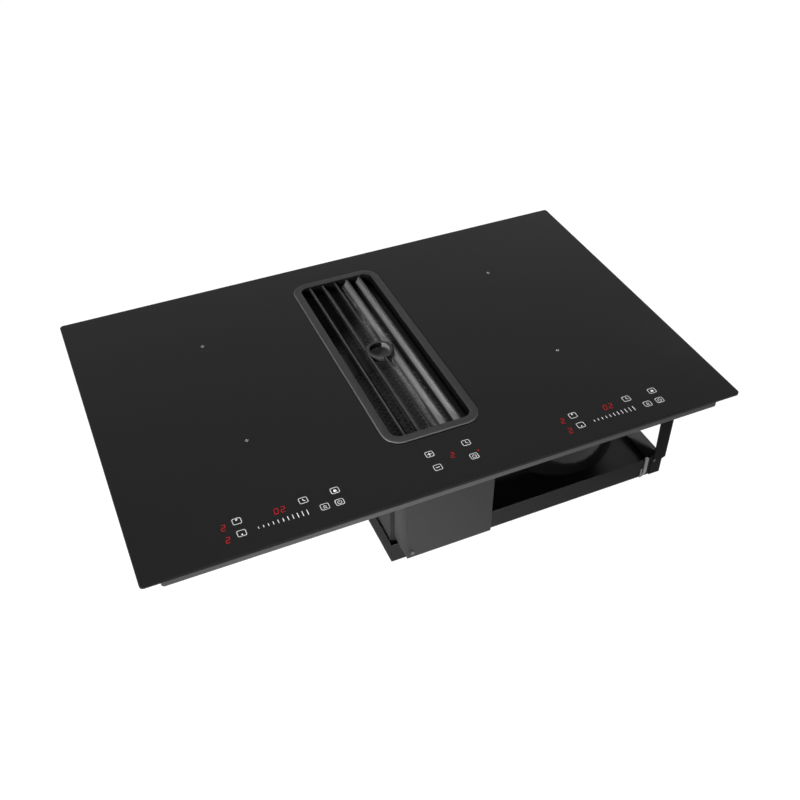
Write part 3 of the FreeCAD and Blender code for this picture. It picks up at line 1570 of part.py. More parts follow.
def make_clip():
    """A J-shaped clip pushed over the top edge of the pan's front wall."""
    sheet_thick = size("clip_sheet")
    left = PAN_RIGHT - size("clip_side_gap")
    right = left + size("clip_width")
    lip_right = left - size("clip_lip_gap")
    lip_left = lip_right - size("clip_lip_width")
    top = PAN_TOP + sheet_thick
    bottom = PAN_BOTTOM - size("clip_drop")
    slope = size("clip_slope")
    corners = [
        (left, top),
        (right, top),
        (right, bottom + slope),
        (left, bottom + size("clip_rise")),
        (lip_left, bottom),
        (lip_left, bottom + size("clip_lip_height")),
        (lip_right, bottom + size("clip_lip_height")),
        (lip_right, bottom + size("clip_lip_notch")),
        (left, bottom + slope + size("clip_rise")),
    ]
    body = new_body("ClipFace")
    face = polygon(body, "outline", (0, 0, -(PAN_FRONT - sheet_thick)), corners, "XZ_Plane")
    pad(body, face, sheet_thick, "sheet", True)
    wall = size("pan_wall")
    behind = PAN_FRONT + wall + sheet_thick
    bridge = block("Clip_bridge", (left, right), (PAN_FRONT, behind), (PAN_TOP, top))
    inner = block(
        "Clip_inner",
        (left, right),
        (PAN_FRONT + wall, behind),
        (PAN_TOP - size("clip_inner"), PAN_TOP),
    )
    keep(fuse("Clip", body, bridge, inner), "pan_clip")


def make_screws():
    """Screw heads on the housing, the posts and the case."""
    radius, tall = size("screw_radius"), size("screw_head")
    flat = size("clamp_bulge") / 2 - size("clamp_thick")
    wall, inset = size("pan_wall"), size("screw_inset")
    screws = [
        rod(
            "ScrewHousing",
            (size("housing_screw_inset") - BOX_RIGHT, BOX_FRONT - tall, BOX_BOTTOM + inset),
            radius,
            tall,
            "y",
        ),
        rod(
            "ScrewPost",
            (
                PAN_RIGHT - size("post_screw_inset"),
                PAN_FRONT - wall - tall,
                PAN_TOP - size("post_screw_drop"),
            ),
            radius - size("post_screw_trim"),
            tall,
            "y",
        ),
        rod("ScrewPostRear", (PAN_RIGHT - inset, PAN_REAR + wall, PAN_TOP - inset), radius, tall, "y"),
        rod("ScrewPostLeft", (PAN_LEFT + inset, PAN_REAR + wall, PAN_TOP - inset), radius, tall, "y"),
    ]
    for side, mark in ((-1, "Left"), (1, "Right")):
        x = side * (CASE_RIGHT + size("clamp_thick"))
        low = x if side > 0 else x - flat
        for word, y in (("Front", -CLAMP_Y), ("Rear", CLAMP_Y)):
            z = (CASE_BOTTOM + GLASS_UNDER) / 2
            screws.append(rod(f"Screw{mark}{word}", (low, y, z), radius, flat, "x"))
    keep(group("Screws", screws), "case_screws")


# ---------------------------------------------------------------- the whole assembly
make_glass()
make_seal()
make_case()
make_collar()
make_grille_frame()
make_louvres()
make_grille_pads()
make_filter()
make_drip_tray()
make_plenum()
make_suction_duct()
make_pan()
make_posts()
make_front_housing()
make_volute()
make_wheel(make_motor())
make_outlet()
make_coils()
make_touch_boards()
make_generator("left", -1)
make_generator("right", 1)
make_cable_gland()
make_clamps()
make_clip()
make_screws()
doc.recompute()

for thing in doc.Objects:
    if "Invalid" in thing.State or "Error" in thing.State:
        raise RuntimeError(f"{thing.Name} ({thing.Label}) failed: {thing.State}")
for node in nodes:
    if node.Shape.isNull() or not node.Shape.isValid() or not node.Shape.Solids:
        raise RuntimeError(f"{node.Label} has no valid solid")

os.makedirs("parts", exist_ok=True)
for node in nodes:
    node.Shape.exportStep(f"parts/{node.Label}.step")
print(f"wrote {len(nodes)} sub-parts")
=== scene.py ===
"""Downdraft induction cooktop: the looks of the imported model.

Laid out as an add-on: property groups hold the sizes and colours, an operator makes each
piece or group of like pieces, and main() runs them in order. Metres, +Z up.
"""

import json
import math

import bmesh
import bpy
from bpy.props import FloatProperty, FloatVectorProperty, PointerProperty
from mathutils import Matrix, Vector


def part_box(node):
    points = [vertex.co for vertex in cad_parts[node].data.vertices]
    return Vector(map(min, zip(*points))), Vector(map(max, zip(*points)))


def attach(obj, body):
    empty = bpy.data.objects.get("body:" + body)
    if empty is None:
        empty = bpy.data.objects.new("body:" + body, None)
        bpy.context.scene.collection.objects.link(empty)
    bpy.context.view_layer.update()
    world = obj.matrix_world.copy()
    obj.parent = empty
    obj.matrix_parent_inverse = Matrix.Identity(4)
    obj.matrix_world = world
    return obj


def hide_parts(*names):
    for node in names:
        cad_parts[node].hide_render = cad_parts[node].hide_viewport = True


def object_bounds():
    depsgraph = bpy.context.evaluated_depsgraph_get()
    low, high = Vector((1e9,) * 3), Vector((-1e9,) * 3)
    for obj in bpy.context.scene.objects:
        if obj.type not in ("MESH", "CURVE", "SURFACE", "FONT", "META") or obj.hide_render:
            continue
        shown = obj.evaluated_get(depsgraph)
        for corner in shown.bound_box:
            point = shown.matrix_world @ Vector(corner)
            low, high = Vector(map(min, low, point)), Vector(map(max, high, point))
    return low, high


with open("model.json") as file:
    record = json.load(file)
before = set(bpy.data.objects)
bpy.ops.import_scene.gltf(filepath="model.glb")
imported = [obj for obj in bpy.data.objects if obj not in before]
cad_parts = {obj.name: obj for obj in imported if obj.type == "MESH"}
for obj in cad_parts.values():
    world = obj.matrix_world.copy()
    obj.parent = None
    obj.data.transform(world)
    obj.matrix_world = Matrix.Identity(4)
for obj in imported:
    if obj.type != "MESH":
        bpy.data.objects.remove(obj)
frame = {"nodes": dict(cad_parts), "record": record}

bl_info = {
    "name": "Downdraft induction cooktop",
    "version": (1, 0, 0),
    "blender": (4, 5, 0),
    "location": "3D View > Sidebar > Cooktop",
    "description": "Dresses the packed model of a downdraft induction cooktop",
    "category": "Object",
}

CAD_BOX = [list(corner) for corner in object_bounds()]

BODY_OF = {
    node: body for body, nodes in frame["record"]["behaviour"]["bodies"].items() for node in nodes
}
SLOT_OF = {part["node"]: part["material_slot"] for part in frame["record"]["subparts"]}

GLASS_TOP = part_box("glass_top")[1].z
LOUVRE_CROWN = 0.0002
LOUVRE_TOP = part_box("grille_louvres")[1].z - LOUVRE_CROWN


# ---------------------------------------------------------------- sizes and colours
class GlassSizes(bpy.types.PropertyGroup):
    """Printing on the glass."""

    line: FloatProperty(
        name="Line", description="Width of a printed line", default=0.00064, unit="LENGTH"
    )
    sign: FloatProperty(
        name="Sign", description="Half the width of a sign", default=0.0029, unit="LENGTH"
    )
    tick: FloatProperty(
        name="Tick", description="Width of a slider mark", default=0.0008, unit="LENGTH"
    )
    digit_line: FloatProperty(
        name="Digit line", description="Width of a lit segment", default=0.00085, unit="LENGTH"
    )
    relief: FloatProperty(
        name="Relief", description="Height of the print", default=0.00006, unit="LENGTH"
    )
    key_width: FloatProperty(
        name="Key width", description="Width of a touch key", default=0.011, unit="LENGTH"
    )
    key_depth: FloatProperty(
        name="Key depth", description="Depth of a touch key", default=0.0098, unit="LENGTH"
    )
    key_corner: FloatProperty(
        name="Key corner", description="Corner radius of a touch key", default=0.0022, unit="LENGTH"
    )
    digit_width: FloatProperty(
        name="Digit width", description="Width of a digit", default=0.0054, unit="LENGTH"
    )
    digit_depth: FloatProperty(
        name="Digit depth", description="Depth of a digit", default=0.0094, unit="LENGTH"
    )
    glass_colour: FloatVectorProperty(
        name="Glass", description="Body colour of the glass",
        default=(0.0036, 0.0036, 0.0038), subtype="COLOR",
    )
    print_colour: FloatVectorProperty(
        name="Print", description="Printed symbols", default=(0.2, 0.2, 0.2), subtype="COLOR"
    )
    digit_colour: FloatVectorProperty(
        name="Digits", description="Lit digits", default=(0.1, 0.003, 0.003), subtype="COLOR"
    )


class SteelSizes(bpy.types.PropertyGroup):
    """Sheet metal round the base."""

    edge: FloatProperty(
        name="Edge", description="Softening of a sheet's edge", default=0.0003, unit="LENGTH"
    )
    fold: FloatProperty(
        name="Fold", description="Radius of a folded corner", default=0.0006, unit="LENGTH"
    )
    case_colour: FloatVectorProperty(
        name="Case", description="Coated case under the glass",
        default=(0.028, 0.028, 0.028), subtype="COLOR",
    )
    housing_colour: FloatVectorProperty(
        name="Housing", description="Air box and front housing",
        default=(0.0088, 0.0088, 0.0092), subtype="COLOR",
    )


class GrilleSizes(bpy.types.PropertyGroup):
    """Grille, filter and their meshes."""

    cell_across: FloatProperty(
        name="Cell across", description="Mesh cell width", default=0.0050, unit="LENGTH"
    )
    cell_along: FloatProperty(
        name="Cell along", description="Mesh cell length", default=0.0034, unit="LENGTH"
    )
    strand: FloatProperty(
        name="Strand", description="Thickness of a mesh strand", default=0.0005, unit="LENGTH"
    )
    coat_colour: FloatVectorProperty(
        name="Coat", description="Powder coat of the grille",
        default=(0.0155, 0.0155, 0.0158), subtype="COLOR",
    )


class StageSizes(bpy.types.PropertyGroup):
    """Floor, lights and camera."""

    lens: FloatProperty(
        name="Lens", description="Focal length in mm on a 36 mm sensor", default=45.233
    )
    key_power: FloatProperty(name="Key", description="Power of the narrow front light", default=3.2)
    rake_power: FloatProperty(
        name="Rake", description="Power of the light from the left", default=240.0
    )
    fill_power: FloatProperty(name="Fill", description="Power of the wide right light", default=5.0)
    top_power: FloatProperty(name="Top", description="Power of the broad light above", default=16.0)
    kicker_power: FloatProperty(
        name="Kicker", description="Power of the small light over the pan", default=0.05
    )
    air_light: FloatProperty(name="Air", description="Light from all round", default=0.3)
    floor_size: FloatProperty(
        name="Floor", description="Side of the floor", default=14.0, unit="LENGTH"
    )


# ---------------------------------------------------------------- node groups for the finishes
EFFECT_INPUTS = (
    ("Position", "NodeSocketVector", None),
    ("Colour", "NodeSocketColor", (0.1, 0.1, 0.1, 1.0)),
    ("Variation", "NodeSocketFloat", 0.1),
    ("Roughness", "NodeSocketFloat", 0.5),
    ("Scale", "NodeSocketFloat", 300.0),
)
EFFECT_OUTPUTS = (
    ("Colour", "NodeSocketColor"),
    ("Roughness", "NodeSocketFloat"),
    ("Height", "NodeSocketFloat"),
)


def effect_group(name):
    """An empty effect with the inputs that every finish sets and the outputs that it takes."""
    group = bpy.data.node_groups.new(name, "ShaderNodeTree")
    for label, kind, value in EFFECT_INPUTS:
        socket = group.interface.new_socket(label, in_out="INPUT", socket_type=kind)
        if value is not None:
            socket.default_value = value
    for label, kind in EFFECT_OUTPUTS:
        group.interface.new_socket(label, in_out="OUTPUT", socket_type=kind)
    start, end = group.nodes.new("NodeGroupInput"), group.nodes.new("NodeGroupOutput")
    return group, start.outputs, end.inputs


def feed(tree, socket, value):
    """Gives an input a number or another node's output."""
    if isinstance(value, (int, float)):
        socket.default_value = value
    else:
        tree.links.new(value, socket)


def sums(tree, kind, *values):
    """A Math node whose inputs are outputs of other nodes or numbers."""
    node = tree.nodes.new("ShaderNodeMath")
    node.operation = kind
    for socket, value in zip(node.inputs, values):
        feed(tree, socket, value)
    return node.outputs[0]


def noise(group, position, scale, detail):
    """Soft noise between 0 and 1."""
    node = group.nodes.new("ShaderNodeTexNoise")
    node.inputs["Detail"].default_value = detail
    group.links.new(position, node.inputs["Vector"])
    feed(group, node.inputs["Scale"], scale)
    return node.outputs["Fac"]


def stretched(group, position, scale, turn=0.0):
    """A position for patterns that run in one direction."""
    node = group.nodes.new("ShaderNodeMapping")
    node.inputs["Scale"].default_value = scale
    node.inputs["Rotation"].default_value = (0.0, 0.0, turn)
    group.links.new(position, node.inputs["Vector"])
    return node.outputs["Vector"]


def parted(group, kind, value):
    """The three outputs of a node that takes a vector or a colour apart."""
    node = group.nodes.new(kind)
    group.links.new(value, node.inputs[0])
    return node.outputs


def blended(group, first, second, share):
    """Two patterns, of which the first has a share and the second the rest."""
    return sums(group, "MULTIPLY_ADD", first, share, sums(group, "MULTIPLY", second, 1 - share))


def shaded(group, colour, value):
    """The colour at another brightness."""
    tint = group.nodes.new("ShaderNodeHueSaturation")
    group.links.new(value, tint.inputs["Value"])
    group.links.new(colour, tint.inputs["Color"])
    return tint.outputs["Color"]


def toned(group, given, pattern):
    """The finish's colour, lighter where a pattern is high and darker where it is low."""
    swing = sums(group, "SUBTRACT", pattern, 0.5)
    swing = sums(group, "MULTIPLY", swing, given["Variation"])
    return shaded(group, given["Colour"], sums(group, "MULTIPLY_ADD", swing, 2.0, 1.0))


def roughened(group, given, pattern, amount, middle=0.5):
    """The finish's roughness, higher where a pattern is above its middle."""
    swing = sums(group, "MULTIPLY", sums(group, "SUBTRACT", pattern, middle), amount)
    return sums(group, "ADD", given["Roughness"], swing)


def put_out(group, result, colour, roughness, height):
    """Links the three results of an effect to its outputs."""
    group.links.new(colour, result["Colour"])
    group.links.new(roughness, result["Roughness"])
    group.links.new(height, result["Height"])
    return group


def make_powder_coat():
    """Orange-peel texture of powder coat or moulded plastic, with slow changes of tone."""
    group, given, result = effect_group("Coat texture")
    grain = noise(group, given["Position"], given["Scale"], 3.0)
    cloud = noise(group, given["Position"], 9.0, 3.0)
    mixed = blended(group, grain, cloud, 0.4)
    colour = toned(group, given, mixed)
    return put_out(group, result, colour, roughened(group, given, mixed, 0.35), grain)


def make_drawn_lines():
    """Fine parallel lines of rolled or ground metal. The lines run along the position's X."""
    group, given, result = effect_group("Drawn lines")
    along = stretched(group, given["Position"], (0.02, 1.0, 1.0))
    lines = noise(group, along, given["Scale"], 4.0)
    cloud = noise(group, given["Position"], 22.0, 2.0)
    colour = toned(group, given, blended(group, lines, cloud, 0.6))
    return put_out(group, result, colour, roughened(group, given, lines, 0.4), lines)


def make_zinc_flowers():
    """Crystals on hot-dip galvanised sheet."""
    group, given, result = effect_group("Zinc flowers")
    cells = group.nodes.new("ShaderNodeTexVoronoi")
    group.links.new(given["Position"], cells.inputs["Vector"])
    group.links.new(given["Scale"], cells.inputs["Scale"])
    parts = parted(group, "ShaderNodeSeparateColor", cells.outputs["Color"])
    streak = noise(group, given["Position"], 420.0, 3.0)
    colour = toned(group, given, blended(group, parts[0], streak, 0.7))
    return put_out(group, result, colour, roughened(group, given, parts[1], 0.3), streak)


def make_wiped_gloss():
    """Polished glass that has been wiped: faint streaks in the gloss, almost none in the colour."""
    group, given, result = effect_group("Wiped gloss")
    across = stretched(group, given["Position"], (0.6, 2.4, 1.0), 0.35)
    smear = noise(group, across, given["Scale"], 5.0)
    ripple = noise(group, given["Position"], 900.0, 1.0)
    roughness = roughened(group, given, smear, 0.12, middle=0.45)
    return put_out(group, result, toned(group, given, smear), roughness, ripple)


def make_wound_turns():
    """Turns of a wound coil about the position's Z axis."""
    group, given, result = effect_group("Wound turns")
    flat = group.nodes.new("ShaderNodeVectorMath")
    flat.operation = "MULTIPLY"
    flat.inputs[1].default_value = (1.0, 1.0, 0.0)
    group.links.new(given["Position"], flat.inputs[0])
    away = group.nodes.new("ShaderNodeVectorMath")
    away.operation = "LENGTH"
    group.links.new(flat.outputs[0], away.inputs[0])
    angle = sums(group, "MULTIPLY", away.outputs["Value"], given["Scale"])
    turns = sums(group, "MULTIPLY_ADD", sums(group, "SINE", angle), 0.5, 0.5)
    strands = noise(group, given["Position"], 900.0, 3.0)
    colour = toned(group, given, blended(group, turns, strands, 0.7))
    return put_out(group, result, colour, roughened(group, given, strands, 0.3), turns)


def make_board_tracks():
    """Tracks under the solder resist of a circuit board."""
    group, given, result = effect_group("Board tracks")
    bricks = group.nodes.new("ShaderNodeTexBrick")
    group.links.new(given["Position"], bricks.inputs["Vector"])
    group.links.new(given["Scale"], bricks.inputs["Scale"])
    bricks.inputs["Mortar Size"].default_value = 0.08
    for label, grey in (("Color1", 0.35), ("Color2", 0.55), ("Mortar", 0.85)):
        bricks.inputs[label].default_value = (grey, grey, grey, 1.0)
    tracks = parted(group, "ShaderNodeSeparateColor", bricks.outputs["Color"])[0]
    grain = noise(group, given["Position"], 260.0, 2.0)
    roughness = roughened(group, given, grain, 0.2)
    return put_out(group, result, toned(group, given, tracks), roughness, tracks)


def make_painted_louvre_light():
    """Louvre coat with painted light and shade: painted lit on the flanks that face the middle,
    painted dark as shade on edges, backs and outer lips, and painted darker on the tops.

    The louvres stand one pitch apart on each side of the spine, and Z counts from just below
    their tops.
    """
    pitch, blade, top_line = 0.02, 0.0024, 0.0006
    past_first, lip_level, top_level = 0.0205, -0.009, -0.0002
    top_value, outer_top_loss, edge_loss = 0.42, -0.36, -0.94
    group, given, result = effect_group("Flank coat")
    axes = parted(group, "ShaderNodeSeparateXYZ", given["Position"])
    away = sums(group, "ABSOLUTE", axes["X"])
    step = sums(group, "MODULO", away, pitch)
    on_blade = sums(group, "LESS_THAN", step, blade)
    low_lip = sums(group, "LESS_THAN", axes["Z"], lip_level)
    outer_lip = sums(group, "MULTIPLY", low_lip, sums(group, "GREATER_THAN", away, past_first))
    dark = sums(group, "MAXIMUM", on_blade, outer_lip)
    on_top = sums(group, "GREATER_THAN", axes["Z"], top_level)
    value = sums(group, "MULTIPLY_ADD", dark, edge_loss, 1.0)
    value = sums(group, "MULTIPLY", value, sums(group, "SUBTRACT", 1.0, on_top))
    past_line = sums(group, "GREATER_THAN", step, top_line)
    outer_top = sums(group, "MULTIPLY", past_line, on_blade)
    shine = sums(group, "MULTIPLY_ADD", outer_top, outer_top_loss, top_value)
    value = sums(group, "MULTIPLY_ADD", on_top, shine, value)
    grain = noise(group, given["Position"], given["Scale"], 3.0)
    cloud = noise(group, given["Position"], 14.0, 3.0)
    mixed = blended(group, grain, cloud, 0.4)
    colour = shaded(group, toned(group, given, mixed), value)
    return put_out(group, result, colour, roughened(group, given, mixed, 0.3), grain)


def make_painted_corner_shade():
    """Filter coat with painted shade that darkens it towards the rear left corner."""
    slope, cloud_reach = -0.9, 0.02
    dark_from, shade_end, darkest = 0.142, 0.088, 0.02
    group, given, result = effect_group("Cooked coat")
    axes = parted(group, "ShaderNodeSeparateXYZ", given["Position"])
    grain = noise(group, given["Position"], given["Scale"], 3.0)
    cloud = noise(group, given["Position"], 30.0, 3.0)
    edge = sums(group, "MULTIPLY_ADD", axes["X"], slope, axes["Y"])
    edge = sums(group, "MULTIPLY_ADD", cloud, cloud_reach, edge)
    shade_ramp = group.nodes.new("ShaderNodeMapRange")
    shade_ramp.interpolation_type = "SMOOTHSTEP"
    shade_ramp.inputs["From Min"].default_value = dark_from
    shade_ramp.inputs["From Max"].default_value = shade_end
    shade_ramp.inputs["To Min"].default_value = darkest
    group.links.new(edge, shade_ramp.inputs["Value"])
    light = toned(group, given, blended(group, grain, cloud, 0.5))
    colour = shaded(group, light, shade_ramp.outputs["Result"])
    return put_out(group, result, colour, given["Roughness"], grain)


EFFECT_MAKERS = {
    "cooked": make_painted_corner_shade,
    "flank": make_painted_louvre_light,
    "coat": make_powder_coat,
    "lines": make_drawn_lines,
    "zinc": make_zinc_flowers,
    "gloss": make_wiped_gloss,
    "turns": make_wound_turns,
    "tracks": make_board_tracks,
}
effects = {}
finishes = {}


def finish(
    name, effect, colour, roughness, scale, variation, bump=0.0, shader_values=None,
    centre=(0, 0, 0),
):
    """A material whose colour, roughness and bump come from one effect, with its own values."""
    if effect not in effects:
        effects[effect] = EFFECT_MAKERS[effect]()
    material = bpy.data.materials.new(name)
    material.use_nodes = True
    tree = material.node_tree
    shader = tree.nodes["Principled BSDF"]
    place = tree.nodes.new("ShaderNodeTexCoord")
    mapping = tree.nodes.new("ShaderNodeMapping")
    mapping.vector_type = "TEXTURE"
    mapping.inputs["Location"].default_value = centre
    look = tree.nodes.new("ShaderNodeGroup")
    look.node_tree = effects[effect]
    tree.links.new(place.outputs["Object"], mapping.inputs["Vector"])
    tree.links.new(mapping.outputs["Vector"], look.inputs["Position"])
    look.inputs["Colour"].default_value = (*colour, 1.0)
    look.inputs["Variation"].default_value = variation
    look.inputs["Roughness"].default_value = roughness
    look.inputs["Scale"].default_value = scale
    tree.links.new(look.outputs["Colour"], shader.inputs["Base Color"])
    tree.links.new(look.outputs["Roughness"], shader.inputs["Roughness"])
    if bump:
        relief = tree.nodes.new("ShaderNodeBump")
        relief.inputs["Strength"].default_value = 1.0
        relief.inputs["Distance"].default_value = bump
        tree.links.new(look.outputs["Height"], relief.inputs["Height"])
        tree.links.new(relief.outputs["Normal"], shader.inputs["Normal"])
    for label, value in (shader_values or {}).items():
        shader.inputs[label].default_value = value
    return material


def mirror(level):
    """Shader values of a coat that mirrors at this level."""
    return {"Specular IOR Level": level}


def metal(level=1.0):
    """Shader values of bare metal, or of a coat that it shows through."""
    return {"Metallic": level}


def glowing(colour, strength):
    """Shader values of a glow: the lit digits, and painted light on the printed symbols."""
    return {"Emission Color": (*colour, 1.0), "Emission Strength": strength}


def finish_rows():
    """For each slot: name, effect, colour, roughness, scale, variation, bump, shader values."""
    scene = bpy.context.scene
    glass, steel, grille = scene.cooktop_glass, scene.cooktop_steel, scene.cooktop_grille
    return {
        "black_glass": (
            "Black glass ceramic", "gloss", glass.glass_colour, 0.075, 5.0, 0.12, 0.0000004,
            mirror(0.1),
        ),
        # The printed symbols glow white as painted light.
        "print": (
            "Printed symbols", "coat", glass.print_colour, 0.5, 900.0, 0.05, 0.0,
            {**mirror(0.2), **glowing((1.0, 1.0, 1.0), 0.5)},
        ),
        "digits": (
            "Lit digits", "coat", glass.digit_colour, 0.45, 600.0, 0.08, 0.0,
            {**mirror(0.03), **glowing((1.0, 0.004, 0.01), 0.3)},
        ),
        "seal_foam": (
            "Foam tape", "coat", (0.02, 0.02, 0.02), 0.95, 1400.0, 0.4, 0.0002, mirror(0.2),
        ),
        "case_grey": (
            "Coated case", "coat", steel.case_colour, 0.5, 520.0, 0.1, 0.00001, mirror(0.1),
        ),
        "grille_black": (
            "Grille coat", "coat", grille.coat_colour, 0.42, 900.0, 0.25, 0.000012, mirror(0.1),
        ),
        # Painted shade for the walls inside the grille, inside the ring and on the inlet collar.
        "grille_inside": (
            "Shaded coat", "coat", (0.001, 0.001, 0.0011), 0.7, 900.0, 0.25, 0.000012, mirror(0.03),
        ),
        # Painted highlight for the bevels of the grille's rim.
        "rim_bevel_highlight": (
            "Worn rim edge", "coat", (0.036, 0.036, 0.037), 0.4, 900.0, 0.3, 0.000012, mirror(0.1),
        ),
        # Painted light on the inner face of the pan's right wall.
        "pan_side_painted_light": (
            "Pan side", "coat", (0.1, 0.1, 0.101), 0.6, 750.0, 0.2, 0.000015, mirror(0.06),
        ),
        "ring_painted_highlight": (
            "Ring satin", "coat", (0.06, 0.06, 0.061), 0.45, 900.0, 0.12, 0.00001, mirror(0.1),
        ),
        # Louvres: the lighter colour is painted light on the flanks, with painted shade on edges,
        # backs, lips and tops.
        "louvre_painted_light": (
            "Louvre satin", "flank", (0.066, 0.066, 0.067), 0.45, 900.0, 0.12, 0.00001,
            mirror(0.1), (0, 0, LOUVRE_TOP),
        ),
        # The filter's frame and mesh carry painted shade towards the rear left corner.
        "filter_black": (
            "Filter coat", "cooked", (0.022, 0.022, 0.023), 0.5, 800.0, 0.25, 0.00001, mirror(0.12),
        ),
        "mesh_metal": (
            "Mesh coat", "cooked", (0.16, 0.16, 0.162), 0.5, 900.0, 0.3, 0.00001, mirror(0.2),
        ),
        "housing_black": (
            "Housing coat", "coat", steel.housing_colour, 0.55, 750.0, 0.18, 0.000015, mirror(0.18),
        ),
        "pan_black": (
            "Pan coat", "coat", (0.0085, 0.0085, 0.0088), 0.6, 750.0, 0.25, 0.000015, mirror(0.05),
        ),
        # Painted light: the pan's inside is a lighter copy of its coat.
        "pan_inside_painted_light": (
            "Pan inside", "coat", (0.014, 0.014, 0.0144), 0.6, 750.0, 0.2, 0.000015, mirror(0.12),
        ),
        "post_black": (
            "Post coat", "coat", (0.002, 0.002, 0.0022), 0.6, 750.0, 0.25, 0.000015, mirror(0.05),
        ),
        "duct_plastic": (
            "Duct plastic", "coat", (0.006, 0.006, 0.006), 0.6, 500.0, 0.2, 0.00001, mirror(0.3),
        ),
        "volute_plastic": (
            "Fan housing plastic", "coat", (0.002, 0.002, 0.0022), 0.2, 300.0, 0.2, 0.000004,
            mirror(0.24),
        ),
        "wheel_plastic": (
            "Wheel plastic", "coat", (0.055, 0.055, 0.057), 0.5, 600.0, 0.15, 0.00001,
        ),
        "pad_rubber": (
            "Rubber", "coat", (0.015, 0.015, 0.015), 0.85, 900.0, 0.25, 0.00002, mirror(0.25),
        ),
        "motor_steel": (
            "Plated steel", "lines", (0.42, 0.42, 0.43), 0.35, 700.0, 0.2, 0.000004, metal(),
        ),
        "shaft_steel": (
            "Ground steel", "lines", (0.58, 0.58, 0.6), 0.24, 1200.0, 0.12, 0.000002, metal(),
        ),
        "bright_steel": (
            "Spring steel", "lines", (0.17, 0.17, 0.173), 0.3, 900.0, 0.12, 0.000003, metal(),
        ),
        "screw_black": (
            "Blackened screws", "lines", (0.05, 0.05, 0.052), 0.38, 900.0, 0.3, 0.000006,
            metal(0.6),
        ),
        "screw_zinc": (
            "Zinc screws", "lines", (0.14, 0.14, 0.143), 0.3, 900.0, 0.25, 0.000004, metal(),
        ),
        "galvanised": (
            "Galvanised sheet", "zinc", (0.46, 0.47, 0.48), 0.42, 110.0, 0.22, 0.000004, metal(),
        ),
        "sink_aluminium": (
            "Extruded aluminium", "lines", (0.66, 0.66, 0.67), 0.36, 600.0, 0.15, 0.000004, metal(),
        ),
        "board_green": ("Power board", "tracks", (0.03, 0.15, 0.07), 0.4, 60.0, 0.5, 0.00003),
        "board_black": ("Touch board", "tracks", (0.015, 0.025, 0.018), 0.4, 80.0, 0.5, 0.00003),
        "display_red": ("Display blocks", "coat", (0.35, 0.02, 0.015), 0.3, 500.0, 0.15),
        "carrier_white": (
            "Heat-proof moulding", "coat", (0.55, 0.54, 0.5), 0.7, 420.0, 0.1, 0.00002,
        ),
        "mica_sheet": ("Pressed mica", "zinc", (0.52, 0.48, 0.38), 0.5, 260.0, 0.3, 0.00001),
        "ferrite": ("Sintered ferrite", "coat", (0.05, 0.05, 0.055), 0.55, 800.0, 0.3, 0.00003),
        "touch_carrier": (
            "Carrier moulding", "coat", (0.06, 0.06, 0.06), 0.6, 500.0, 0.15, 0.00001,
        ),
        "gland_nylon": ("Nylon", "coat", (0.018, 0.018, 0.018), 0.5, 420.0, 0.2, 0.00001),
        "terminal_plastic": (
            "Terminal moulding", "coat", (0.68, 0.66, 0.6), 0.5, 380.0, 0.06, 0.00001,
        ),
    }


def finish_of(slot):
    """The finish of a material slot, made once."""
    if slot not in finishes:
        finishes[slot] = finish(*finish_rows()[slot])
    return finishes[slot]


# ---------------------------------------------------------------- making pieces
WELD_REACH = 0.000002
FLAT_ANGLE = math.radians(0.4)


def new_piece(name, form, body, slot, material=None):
    """A finished mesh, in place, that rides on a body."""
    mesh = bpy.data.meshes.new(name)
    form.to_mesh(mesh)
    form.free()
    piece = bpy.data.objects.new(name, mesh)
    bpy.context.scene.collection.objects.link(piece)
    mesh.materials.append(material or finish_of(slot))
    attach(piece, body)
    return piece


def dress(*nodes, material=None):
    """Gives CAD nodes the finish of their slot."""
    for node in nodes:
        for holder in frame["nodes"][node].material_slots:
            holder.material = material or finish_of(SLOT_OF[node])


def welded(node):
    """A copy of a CAD node's mesh with its triangles joined into whole faces."""
    form = bmesh.new()
    form.from_mesh(frame["nodes"][node].data)
    bmesh.ops.remove_doubles(form, verts=form.verts, dist=WELD_REACH)
    bmesh.ops.dissolve_limit(
        form, angle_limit=FLAT_ANGLE, verts=form.verts, edges=form.edges,
        use_dissolve_boundaries=False,
    )
    return form


def soften(node, width, slot=None, segments=2, angle=34, carve=None):
    """The CAD node with its sharp edges rounded, standing for the node."""
    form = welded(node)
    if carve:
        carve(form)
    for face in form.faces:
        face.smooth = True
    look = finish_of(slot or SLOT_OF[node])
    piece = new_piece(f"{node}_rounded", form, BODY_OF[node], SLOT_OF[node], look)
    rounding = piece.modifiers.new("Rounded edges", "BEVEL")
    rounding.width = width
    rounding.segments = segments
    rounding.limit_method = "ANGLE"
    rounding.angle_limit = math.radians(angle)
    rounding.harden_normals = True
    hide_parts(node)
    return piece


def repaint(piece, slot, chosen):
    """Another finish on the faces that are chosen by their middle and direction."""
    piece.data.materials.append(finish_of(slot))
    for face in piece.data.polygons:
        if chosen(face.center, face.normal):
            face.material_index = len(piece.data.materials) - 1


def within(spot, low, high, inset):
    """Whether a spot lies further in than an inset from the four sides of a box."""
    return low.x + inset < spot.x < high.x - inset and low.y + inset < spot.y < high.y - inset


def turned_right(form):
    """The form with all its faces pointing outwards."""
    bmesh.ops.recalc_face_normals(form, faces=form.faces)
    return form


def merge_into(form, extra):
    """Adds one bmesh to another."""
    mesh = bpy.data.meshes.new("scratch")
    extra.to_mesh(mesh)
    extra.free()
    form.from_mesh(mesh)
    bpy.data.meshes.remove(mesh)


